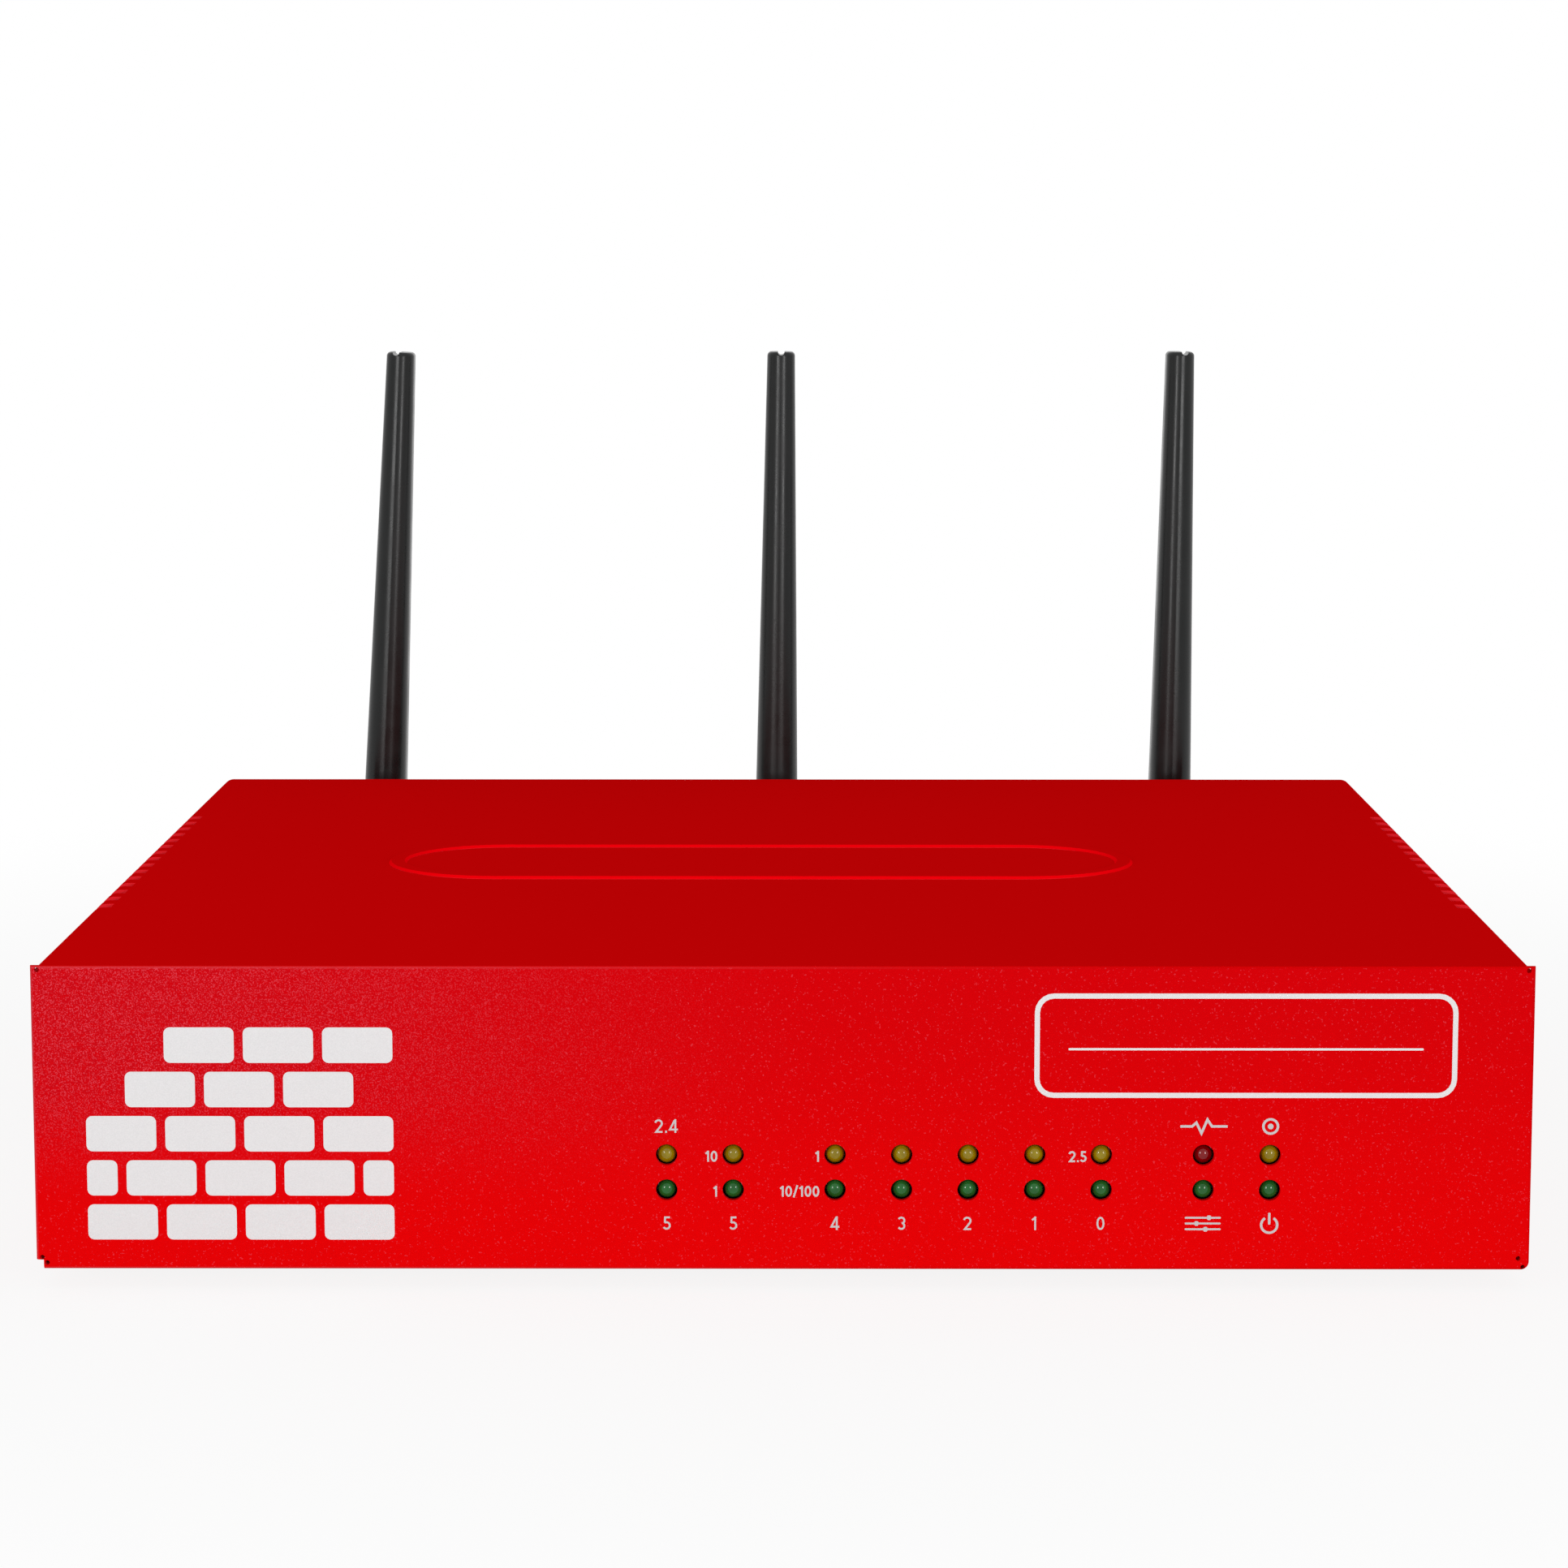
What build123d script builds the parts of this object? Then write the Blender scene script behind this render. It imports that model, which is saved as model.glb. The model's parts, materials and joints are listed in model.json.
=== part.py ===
from build123d import *

import math
import os

# Desktop firewall appliance: a folded sheet-metal box on four rubber feet, with three hinged antennas
# behind it. Millimetres. +X is right as seen from the front, +Y is to the rear and +Z is up. The origin
# is on the surface that the box stands on, in the middle of the footprint of the box and its antennas.

# ---------------------------------------------------------------- driving dimensions

# Box
body_width = 216.0
body_depth = 205.0
body_height = 44.5
sheet = 1.0
foot_height = 3.0
side_fold_radius = 2.0  # outside of the folds along the top's left and right edges
lower_fold_radius = 1.2  # outside of the folds along the bottom's left and right edges
front_fold_radius = 0.6  # outside of the folds around the front panel
side_flange = 12.0  # width of the cover's flanges under the floor, left and right
front_flange = 12.0
pan_gap = 0.3  # clearance of the base pan inside the cover
pan_wall_height = 9.0  # the base pan's low walls, left and right

# Relief holes at the corners where the front panel's folds meet, and a notch at the lower left one
relief_radius = 0.35
relief_depth = 3.0
upper_relief = (1.0, 0.55)  # inwards from the side and down from the top
left_reliefs = ((0.9, 1.75), (1.6, 0.95))  # inwards from the side and up from the underside
right_reliefs = ((1.65, 1.75), (0.95, 0.45))
corner_notch = (1.1, 6.0, 1.4)  # width, depth and height

# Vent slots wrapped over the top's left and right folds
slot_count = 15
slot_pitch = 7.0
slot_width = 3.4
slot_first = 54.0  # from the front panel to the first slot's middle
slot_top_reach = 3.2
slot_side_reach = 22.0

# Raised bead on the top
bead_length = 124.0
bead_width = 38.0
bead_line = 3.0
bead_rise = 0.45
bead_chamfer = 0.4
bead_back = 100.0  # from the front panel to the bead's middle
bead_x = -4.0

# Rubber feet pushed into the floor
foot_radius = 7.0
foot_round = 0.8
foot_margin = 1.0  # from the cover's side flange to a foot
foot_setback = 22.0  # from the front and the rear to a foot's middle
foot_stem_radius = 2.4
foot_stem_gap = 0.1
foot_bulb_radius = 3.2
foot_bulb_height = 1.4

# Indicator lights: columns in three groups, two rows
light_radius = 1.45
light_gap = 0.1
light_recess = 0.25  # from the front panel's face back to a lens
light_pitch = 9.6
light_group_pitch = 14.7
light_counts = (2, 5, 2)
light_first_x = -16.7
light_rows = (11.8, 16.95)  # heights above the underside
red_column_index = 7
holder_width = 4.4
holder_depth = 5.0
holder_setback = 4.5  # from the front panel's face to a holder
holder_wall = 0.9
holder_bore_gap = 0.05
holder_bore_depth = 3.2

# Main board
board_thickness = 1.6
board_side_margin = 2.5  # from the base pan's low walls
board_front_margin = 4.0
board_rear_margin = 0.6  # from the rear panel
standoff_height = 4.0
standoff_radius = 3.0
standoff_inset = 6.0
standoff_rear_inset = 34.0

# Screws
m3_radius = 1.45
m3_head_radius = 2.8
m3_head_height = 1.7
m3_thread_gap = 0.05  # around a thread in its threaded hole
m3_hole_gap = 0.25  # around a thread in a plain hole
cover_screw_length = 4.4
cover_screw_insets = (30.0, 100.0, 185.0)  # from the front panel
board_screw_length = 5.0

# Processor, heat sink and fan
processor_x = -30.0
processor_back = 84.0  # from the front panel
processor_side = 27.0
processor_height = 2.0
sink_side = 50.0
sink_base = 3.0
fin_height = 12.0
fin_thickness = 1.2
fin_pitch = 4.0
fin_count = 12
sink_corner = 7.4  # side of the clear corner for each of the heat sink's screws
sink_screw_inset = 3.6
sink_screw_radius = 1.25
sink_screw_head_radius = 2.4
sink_screw_head_height = 1.5
sink_screw_gap = 0.1
sink_screw_tail = 1.2  # past the underside of the board
fan_side = 40.0
fan_height = 10.0
fan_bore_radius = 19.0
fan_hole_offset = 16.0
fan_hole_radius = 1.75
fan_screw_radius = 1.35
fan_screw_grip = 6.0  # length between the fins
fan_motor_radius = 9.5
fan_motor_height = 1.5
fan_strut_width = 2.0
fan_strut_seat = 0.2  # length of a strut inside the frame's wall
rotor_hub_radius = 9.8
rotor_gap = 0.4
rotor_tip_gap = 0.8
rotor_blades = 7
rotor_blade_pitch = 35.0  # degrees from flat
rotor_blade_thickness = 1.0
rotor_blade_chord = 8.9
rotor_blade_root = 1.0  # length of a blade inside the hub
shaft_radius = 1.0
shaft_gap = 0.05
shaft_seat = 1.1

# Chips, coin cell and radio card
memory_size = (11.0, 9.0, 1.2)
memory_count = 4
memory_pitch = 12.5
memory_offset = 34.0  # from the processor's middle, to the left
cell_radius = 10.0
cell_height = 3.2
cell_round = 0.4
cell_x = 62.0
cell_back = 62.0
cell_gap = 0.1
cell_holder_wall = 1.5
cell_holder_floor = 1.0
cell_holder_rise = 3.6
card_x = 20.0
card_from_rear = 90.0  # from the rear panel to the card's socket
card_width = 30.0
card_length = 50.0
card_thickness = 1.0
card_height = 3.0  # from the board to the card's underside
card_tongue = 3.0  # length of the card inside its socket
card_gap = 0.1
socket_depth = 7.0
socket_height = 5.2
socket_wall = 0.8
card_chip = (18.0, 20.0, 1.6)
card_post_radius = 2.4
card_post_inset = 3.0
card_screw_head_radius = 2.0
card_screw_head_height = 1.0
card_screw_radius = 0.95
card_plug_pitch = 8.0
card_plug_inset = 5.5
card_plug_radius = 1.2
card_plug_height = 1.2

# Rear row, from left to right as seen from the front: fibre cage, network jacks, console jack, USB jack,
# reset button, power switch, power jack and earth screw. What the row leaves free is shared between them.
row_post_margin = 2.0  # from the left rear post's screw head to the row
row_side_margin = 2.8  # from the row to the base pan's right side
port_gap = 0.25  # around each socket in the rear panel
port_proud = 0.3  # how far a socket stands out of the rear panel
port_round = 0.4  # along a socket's four long edges
rj45_width = 16.0
rj45_height = 13.5
rj45_depth = 21.0
rj45_mouth = (11.8, 7.0)
rj45_mouth_rise = 4.2
rj45_mouth_depth = 14.0
rj45_key = (6.2, 1.6)
rj45_key_step = (3.4, 1.0)
rj45_gap = 1.5  # between neighbouring network jacks
network_jack_count = 5
sfp_width = 15.0
sfp_height = 10.0
sfp_depth = 48.0
sfp_wall = 0.5
sfp_block = 6.0
usb_width = 14.5
usb_height = 15.6
usb_depth = 17.5
usb_slot = (12.5, 5.1)
usb_slot_depth = 12.0
usb_slot_rise = 1.3
usb_slot_pitch = 7.8
usb_tongue = (11.0, 1.8)
usb_tongue_recess = 0.8
usb_tongue_drop = 0.7  # from a slot's ceiling to its tongue
power_width = 9.0
power_height = 11.0
power_depth = 14.0
power_bore_radius = 3.1
power_bore_depth = 10.0
power_bore_rise = 6.0
power_pin_radius = 1.0
power_pin_recess = 1.0

# Reset button and its switch
reset_rise = 3.8
reset_radius = 1.4
reset_hole_gap = 0.2
reset_bore_gap = 0.05
reset_recess = 0.5
reset_travel = 0.8
reset_switch_size = (6.4, 4.4, 6.4)
reset_switch_setback = 4.5  # from the rear panel's face
reset_engagement = 2.6
reset_round = 0.35

# Power switch: a rocker in a snap-in frame
rocker_rise = 17.5  # above the underside
rocker_bezel = (10.6, 15.0)
rocker_bezel_height = 1.4
rocker_bezel_round = 1.0
rocker_bezel_edge = 0.4
rocker_body = (8.4, 12.8)
rocker_body_depth = 13.0
rocker_pocket_depth = 7.0
rocker_wall = 0.65
rocker_side_gap = 0.2
rocker_end_radius = 5.5
rocker_end_gap = 0.25
rocker_pivot_depth = 1.2  # below the bezel's face
rocker_keel = 3.6  # depth of the keel below the pivot
rocker_keel_half = 1.6  # half the keel's length
rocker_shoulder = 4.6  # half the rocker's length at half the keel's depth
rocker_lip_half = 5.0  # half the rocker's length at its outer corners
rocker_tilt = 10.0
rocker_dish = 1.1
rocker_pin_radius = 0.9
rocker_pin_gap = 0.05
rocker_pin_seat = 0.3  # length of a pin's end inside the frame's wall

# Earth screw
ground_rise = 14.0
ground_radius = 1.95
ground_head_radius = 3.4
ground_head_height = 2.2
ground_head_round = 0.7
ground_length = 6.0

# Antennas
left_antenna_inset = 29.0  # from the box's left side to the connector's axis
right_antenna_inset = 33.2
left_lean = 2.7  # degrees towards +X at rest
centre_lean = 0.6
right_lean = 0.7
antenna_rise = 32.0  # connector axis above the underside
pivot_back = 18.0  # hinge pin behind the rear panel
jack_radius = 3.15
jack_reach = 8.5  # thread behind the rear panel
jack_hex_flats = 8.0
jack_hex_height = 2.0
jack_tail_radius = 2.0
jack_tail_length = 7.0
jack_hole_gap = 0.1
coupling_radius = 4.75
coupling_front = 2.8
coupling_rear = 10.4
coupling_lip = 0.8
coupling_thread_gap = 0.05
coupling_knurls = 24
coupling_knurl_depth = 0.25
collar_radius = 4.6
collar_gap = 0.15
neck_radius = 2.65
neck_gap = 0.05
neck_flange_radius = 3.05
neck_flange_height = 0.8
ear_radius = 4.4
ear_thickness = 1.95
tongue_gap = 0.1
tongue_thickness = 3.6
tongue_radius = 4.1
pin_radius = 1.0
pin_gap = 0.04
blade_start = 5.0  # blade's lower shoulder above the hinge pin
blade_length = 93.6  # hinge pin to tip
blade_foot = (8.2, 10.6)  # width, and front to rear
blade_tip = (5.3, 7.7)
blade_flat = 0.1  # flat strip between the rounds, front and rear
blade_end_round = 0.8
tip_notch_radius = 0.65
tip_notch_x = {"left": -0.75, "centre": 0.0, "right": 0.75}  # from the middle of the blade's tip
lead_radius = 0.7
lead_last_run = 17.0  # straight in front of the jack's tail
lead_plug_height = 1.5
lead_plug_radius = 1.4

# ---------------------------------------------------------------- derived places

rear_reach = pivot_back + blade_foot[1] / 2
front_y = -(body_depth + rear_reach) / 2
rear_y = front_y + body_depth
half_width = body_width / 2
base_z = foot_height
top_z = base_z + body_height
floor_z = base_z + sheet
floor_top = floor_z + sheet
board_z = floor_top + standoff_height
board_top = board_z + board_thickness
pan_half_width = half_width - sheet - pan_gap
pan_front_y = front_y + sheet + pan_gap
port_face_y = rear_y + port_proud
pivot_y = rear_y + pivot_back
antenna_z = base_z + antenna_rise

board_half_width = pan_half_width - sheet - board_side_margin
board_front_y = front_y + board_front_margin
board_rear_y = rear_y - sheet - board_rear_margin
board_length = board_rear_y - board_front_y

foot_x = half_width - side_flange - foot_margin - foot_radius
foot_places = {
    "foot_front_left": (-foot_x, front_y + foot_setback),
    "foot_front_right": (foot_x, front_y + foot_setback),
    "foot_rear_left": (-foot_x, rear_y - foot_setback),
    "foot_rear_right": (foot_x, rear_y - foot_setback),
}
cover_screw_x = half_width - side_flange / 2
cover_screw_places = [
    (x, front_y + inset) for x in (-cover_screw_x, cover_screw_x) for inset in cover_screw_insets
]
standoff_x = board_half_width - standoff_inset
standoff_ys = (
    board_front_y + standoff_inset,
    (board_front_y + board_rear_y) / 2,
    board_rear_y - standoff_rear_inset,
)
standoff_places = [(x, y) for x in (-standoff_x, standoff_x) for y in standoff_ys]

light_xs = []
group_start_x = light_first_x
for count in light_counts:
    light_xs += [group_start_x + i * light_pitch for i in range(count)]
    group_start_x = light_xs[-1] + light_group_pitch
lower_light_z = base_z + light_rows[0]
upper_light_z = base_z + light_rows[1]

processor_y = front_y + processor_back
sink_z = board_top + processor_height
fin_z = sink_z + sink_base
fan_z = fin_z + fin_height
sink_screw_offset = sink_side / 2 - sink_screw_inset
sink_screw_places = [
    (processor_x + i * sink_screw_offset, processor_y + j * sink_screw_offset)
    for i in (-1, 1)
    for j in (-1, 1)
]
fan_screw_places = [
    (processor_x + i * fan_hole_offset, processor_y + j * fan_hole_offset)
    for i in (-1, 1)
    for j in (-1, 1)
]

socket_y = rear_y - card_from_rear
card_y = socket_y + socket_depth - card_tongue  # the card's front end, inside the socket
card_z = board_top + card_height
card_end_y = card_y + card_length
card_post_y = card_end_y - card_post_inset
card_plug_y = card_post_y - card_plug_inset
plug_xs = {
    "left": card_x - card_plug_pitch,
    "centre": card_x,
    "right": card_x + card_plug_pitch,
}
plug_top = card_z + card_thickness + card_plug_height

rj45_pitch = rj45_width + rj45_gap
row_left = m3_head_radius + row_post_margin - standoff_x
row_right = pan_half_width - row_side_margin
row_widths = (
    sfp_width,
    network_jack_count * rj45_pitch - rj45_gap,
    rj45_width,
    usb_width,
    reset_switch_size[0],
    rocker_bezel[0],
    power_width,
    2 * ground_head_radius,
)
row_gap = (row_right - row_left - sum(row_widths)) / (len(row_widths) - 1)
row_xs = []
row_start = row_left
for width in row_widths:
    row_xs.append(row_start + width / 2)
    row_start += width + row_gap
sfp_x, network_jacks_x, console_x, usb_x, reset_x, rocker_x, power_x, ground_x = row_xs
network_jack_xs = [
    network_jacks_x + (i - (network_jack_count - 1) / 2) * rj45_pitch for i in range(network_jack_count)
]
rj45_xs = network_jack_xs + [console_x]
left_antenna_x = left_antenna_inset - half_width
right_antenna_x = half_width - right_antenna_inset
antennas = (
    ("left", left_antenna_x, left_lean),
    ("centre", (left_antenna_x + right_antenna_x) / 2, centre_lean),
    ("right", right_antenna_x, right_lean),
)
rocker_z = base_z + rocker_rise
ground_z = base_z + ground_rise
reset_z = board_top + reset_rise
jack_tail_y = rear_y - sheet - jack_hex_height - jack_tail_length

CENTRED = (Align.CENTER, Align.CENTER, Align.MIN)  # stands on its place
FRONTED = (Align.CENTER, Align.MIN, Align.MIN)  # starts at its place and runs to the rear
BACKED = (Align.CENTER, Align.MAX, Align.MIN)  # ends at its place
TO_REAR = (-90, 0, 0)  # turns a cylinder's own axis from +Z to +Y
TO_RIGHT = (0, 90, 0)  # turns a cylinder's own axis from +Z to +X

os.makedirs("parts", exist_ok=True)


def save(piece, name):
    """Label a finished piece and write it to a STEP file of its own."""
    piece.part.label = name
    export_step(piece.part, f"parts/{name}.step")


def upright(y):
    """A drawing plane at depth y, with +X to the right, +Z up and its normal to the front."""
    return Plane.XZ.offset(-y)


def screws(places, under_head, radius, length, head_radius, head_height, head_up=True):
    """A group of round-headed screws whose heads bear on the height under_head."""
    turn = 1 if head_up else -1
    with BuildPart() as group:
        for x, y in places:
            with BuildSketch(Plane.XY.offset(under_head)):
                with Locations((x, y)):
                    Circle(head_radius)
            extrude(amount=turn * head_height)
            with BuildSketch(Plane.XY.offset(under_head)):
                with Locations((x, y)):
                    Circle(radius)
            extrude(amount=-turn * length)
    return group


# ---------------------------------------------------------------- cover: front, top, sides and lower flanges

with BuildPart() as cover:
    with BuildSketch(upright(front_y + sheet)) as outline:
        with Locations((0, base_z + body_height / 2)):
            Rectangle(body_width, body_height)
        fillet(outline.vertices().group_by(Axis.Y)[-1], side_fold_radius)
        fillet(outline.vertices().group_by(Axis.Y)[0], lower_fold_radius)
    extrude(amount=sheet - body_depth)
    with BuildSketch(upright(front_y)) as front_outline:
        with Locations((0, base_z + body_height / 2)):
            Rectangle(body_width, body_height)
        fillet(front_outline.vertices().group_by(Axis.Y)[0], lower_fold_radius)
    extrude(amount=-sheet)
    fillet(cover.faces().sort_by(Axis.Y)[0].edges(), front_fold_radius)
    with BuildSketch(upright(front_y + sheet)) as hollow:
        with Locations((0, base_z + body_height / 2)):
            Rectangle(body_width - 2 * sheet, body_height - 2 * sheet)
        fillet(hollow.vertices().group_by(Axis.Y)[-1], side_fold_radius - sheet)
    extrude(amount=-body_depth, mode=Mode.SUBTRACT)
    with Locations((0, front_y + front_flange, base_z)):
        Box(body_width - 2 * side_flange, body_depth, 4 * sheet, (0, 0, 0),
            (Align.CENTER, Align.MIN, Align.CENTER), mode=Mode.SUBTRACT)
    with BuildSketch(upright(front_y)):
        with Locations([(x, z) for x in light_xs for z in (lower_light_z, upper_light_z)]):
            Circle(light_radius + light_gap)
    extrude(amount=1.5 * sheet, both=True, mode=Mode.SUBTRACT)
    with BuildSketch(upright(front_y)):
        for side, reliefs in ((-1, left_reliefs), (1, right_reliefs)):
            with Locations((side * (half_width - upper_relief[0]), top_z - upper_relief[1])):
                Circle(relief_radius)
            with Locations([(side * (half_width - inwards), base_z + up) for inwards, up in reliefs]):
                Circle(relief_radius)
    extrude(amount=relief_depth, both=True, mode=Mode.SUBTRACT)
    with Locations((-half_width, front_y, base_z)):
        Box(*(2 * side for side in corner_notch), mode=Mode.SUBTRACT)
    with Locations([
        (side * half_width, front_y + slot_first + i * slot_pitch, top_z)
        for side in (-1, 1)
        for i in range(slot_count)
    ]):
        Box(2 * slot_top_reach, slot_width, 2 * slot_side_reach, mode=Mode.SUBTRACT)
    with Locations([(x, y, floor_z) for x, y in cover_screw_places]):
        Cylinder(m3_radius + m3_hole_gap, 2 * sheet, mode=Mode.SUBTRACT)
    with BuildSketch(Plane.XY.offset(top_z)):
        with Locations((bead_x, front_y + bead_back)):
            SlotOverall(bead_length, bead_width)
            SlotOverall(bead_length - 2 * bead_line, bead_width - 2 * bead_line, mode=Mode.SUBTRACT)
    extrude(amount=bead_rise)
    chamfer(cover.faces().sort_by(Axis.Z)[-1].edges(), bead_chamfer)
save(cover, "cover")

# ---------------------------------------------------------------- base pan: floor, rear panel and low walls

with BuildPart() as base_pan:
    with Locations((0, pan_front_y, floor_z)):
        Box(2 * pan_half_width, rear_y - pan_front_y, sheet, align=FRONTED)
    with BuildSketch(upright(rear_y)) as rear_outline:
        with Locations((0, floor_z)):
            Rectangle(2 * pan_half_width, top_z - sheet - pan_gap - floor_z, align=(Align.CENTER, Align.MIN))
        fillet(rear_outline.vertices().group_by(Axis.Y)[-1], side_fold_radius - sheet)
    extrude(amount=sheet)
    for side in (-1, 1):
        with Locations((side * (pan_half_width - sheet / 2), pan_front_y, floor_z)):
            Box(sheet, rear_y - pan_front_y, pan_wall_height, align=FRONTED)
    with Locations([(x, y, floor_z) for x, y in foot_places.values()]):
        Cylinder(foot_stem_radius + foot_stem_gap, 4 * sheet, mode=Mode.SUBTRACT)
    with Locations([(x, y, floor_z) for x, y in cover_screw_places]):
        Cylinder(m3_radius + m3_thread_gap, 4 * sheet, mode=Mode.SUBTRACT)
    with Locations([(x, rear_y, board_top) for x in rj45_xs]):
        Box(rj45_width + 2 * port_gap, 4 * sheet, rj45_height + port_gap,
            align=(Align.CENTER, Align.CENTER, Align.MIN), mode=Mode.SUBTRACT)
    with Locations((sfp_x, rear_y, board_top)):
        Box(sfp_width + 2 * port_gap, 4 * sheet, sfp_height + port_gap,
            align=(Align.CENTER, Align.CENTER, Align.MIN), mode=Mode.SUBTRACT)
    with Locations((usb_x, rear_y, board_top)):
        Box(usb_width + 2 * port_gap, 4 * sheet, usb_height + port_gap,
            align=(Align.CENTER, Align.CENTER, Align.MIN), mode=Mode.SUBTRACT)
    with Locations((power_x, rear_y, board_top)):
        Box(power_width + 2 * port_gap, 4 * sheet, power_height + port_gap,
            align=(Align.CENTER, Align.CENTER, Align.MIN), mode=Mode.SUBTRACT)
    with Locations((rocker_x, rear_y, rocker_z)):
        Box(rocker_body[0] + 2 * port_gap, 4 * sheet, rocker_body[1] + 2 * port_gap, mode=Mode.SUBTRACT)
    with Locations((reset_x, rear_y, reset_z)):
        Cylinder(reset_radius + reset_hole_gap, 4 * sheet, rotation=TO_REAR, mode=Mode.SUBTRACT)
    with Locations((ground_x, rear_y, ground_z)):
        Cylinder(ground_radius + m3_thread_gap, 4 * sheet, rotation=TO_REAR, mode=Mode.SUBTRACT)
    with Locations([(x, rear_y, antenna_z) for _, x, _ in antennas]):
        Cylinder(jack_radius + jack_hole_gap, 4 * sheet, rotation=TO_REAR, mode=Mode.SUBTRACT)
save(base_pan, "base_pan")

# ---------------------------------------------------------------- feet and screws of the box

for name, (x, y) in foot_places.items():
    with BuildPart() as foot:
        with BuildSketch():
            with Locations((x, y)):
                Circle(foot_radius)
        extrude(amount=floor_z)
        fillet(foot.edges().sort_by(Axis.Z)[0], foot_round)
        with BuildSketch(Plane.XY.offset(floor_z)):
            with Locations((x, y)):
                Circle(foot_stem_radius)
        extrude(amount=sheet)
        with BuildSketch(Plane.XY.offset(floor_top)):
            with Locations((x, y)):
                Circle(foot_bulb_radius)
        extrude(amount=foot_bulb_height)
        chamfer(foot.edges().sort_by(Axis.Z)[-1], foot_bulb_height / 2)
    save(foot, name)

cover_screws = screws(cover_screw_places, base_z, m3_radius, cover_screw_length, m3_head_radius,
                      m3_head_height, head_up=False)
save(cover_screws, "cover_screws")

with BuildPart() as ground_screw:
    with Locations((ground_x, rear_y, ground_z)):
        Cylinder(ground_head_radius, ground_head_height, rotation=TO_REAR, align=CENTRED)
        Cylinder(ground_radius, ground_length, rotation=TO_REAR,
                 align=(Align.CENTER, Align.CENTER, Align.MAX))
    fillet(ground_screw.faces().sort_by(Axis.Y)[-1].edges(), ground_head_round)
save(ground_screw, "ground_screw")

# ---------------------------------------------------------------- main board and what holds it

with BuildPart() as main_board:
    with Locations((0, board_front_y, board_z)):
        Box(2 * board_half_width, board_length, board_thickness, align=FRONTED)
    with Locations((card_x, card_post_y, board_top)):
        Cylinder(card_post_radius, card_height, align=CENTRED)
        Cylinder(card_screw_radius + m3_thread_gap, card_height, align=CENTRED, mode=Mode.SUBTRACT)
    with Locations([(x, y, board_z) for x, y in standoff_places]):
        Cylinder(m3_radius + m3_hole_gap, 4 * board_thickness, mode=Mode.SUBTRACT)
    with Locations([(x, y, board_z) for x, y in sink_screw_places]):
        Cylinder(sink_screw_radius + sink_screw_gap, 4 * board_thickness, mode=Mode.SUBTRACT)
save(main_board, "main_board")

with BuildPart() as board_standoffs:
    with Locations([(x, y, floor_top) for x, y in standoff_places]):
        Cylinder(standoff_radius, standoff_height, align=CENTRED)
        Cylinder(m3_radius + m3_thread_gap, standoff_height, align=CENTRED, mode=Mode.SUBTRACT)
save(board_standoffs, "board_standoffs")

board_screws = screws(standoff_places, board_top, m3_radius, board_screw_length, m3_head_radius,
                      m3_head_height)
save(board_screws, "board_screws")

# ---------------------------------------------------------------- processor, heat sink and fan

with BuildPart() as processor:
    with Locations((processor_x, processor_y, board_top)):
        Box(processor_side, processor_side, processor_height, align=CENTRED)
save(processor, "processor")

with BuildPart() as heat_sink:
    with Locations((processor_x, processor_y, sink_z)):
        Box(sink_side, sink_side, sink_base, align=CENTRED)
    with Locations((processor_x, processor_y, fin_z)):
        with GridLocations(fin_pitch, 0, fin_count, 1):
            Box(fin_thickness, sink_side, fin_height, align=CENTRED)
    corner = sink_side - sink_corner
    with Locations((processor_x, processor_y, fin_z)):
        with GridLocations(corner, corner, 2, 2):
            Box(sink_corner, sink_corner, fin_height, align=CENTRED, mode=Mode.SUBTRACT)
    with Locations([(x, y, sink_z) for x, y in sink_screw_places]):
        Cylinder(sink_screw_radius + sink_screw_gap, 4 * sink_base, mode=Mode.SUBTRACT)
save(heat_sink, "heat_sink")

heat_sink_screws = screws(sink_screw_places, fin_z, sink_screw_radius, fin_z - board_z + sink_screw_tail,
                          sink_screw_head_radius, sink_screw_head_height)
save(heat_sink_screws, "heat_sink_screws")

with BuildPart() as fan_frame:
    with BuildSketch(Plane.XY.offset(fan_z)):
        with Locations((processor_x, processor_y)):
            RectangleRounded(fan_side, fan_side, fan_side / 2 - fan_hole_offset)
            Circle(fan_bore_radius, mode=Mode.SUBTRACT)
        with Locations(fan_screw_places):
            Circle(fan_hole_radius, mode=Mode.SUBTRACT)
    extrude(amount=fan_height)
    with BuildSketch(Plane.XY.offset(fan_z + fan_height - fan_motor_height)):
        with Locations((processor_x, processor_y)):
            Circle(fan_motor_radius)
            Rectangle(2 * (fan_bore_radius + fan_strut_seat), fan_strut_width, rotation=45)
            Rectangle(2 * (fan_bore_radius + fan_strut_seat), fan_strut_width, rotation=-45)
    extrude(amount=fan_motor_height)
    with Locations((processor_x, processor_y, fan_z + fan_height - fan_motor_height)):
        Cylinder(shaft_radius + shaft_gap, shaft_seat + shaft_gap, align=CENTRED, mode=Mode.SUBTRACT)
save(fan_frame, "fan_frame")

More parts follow.
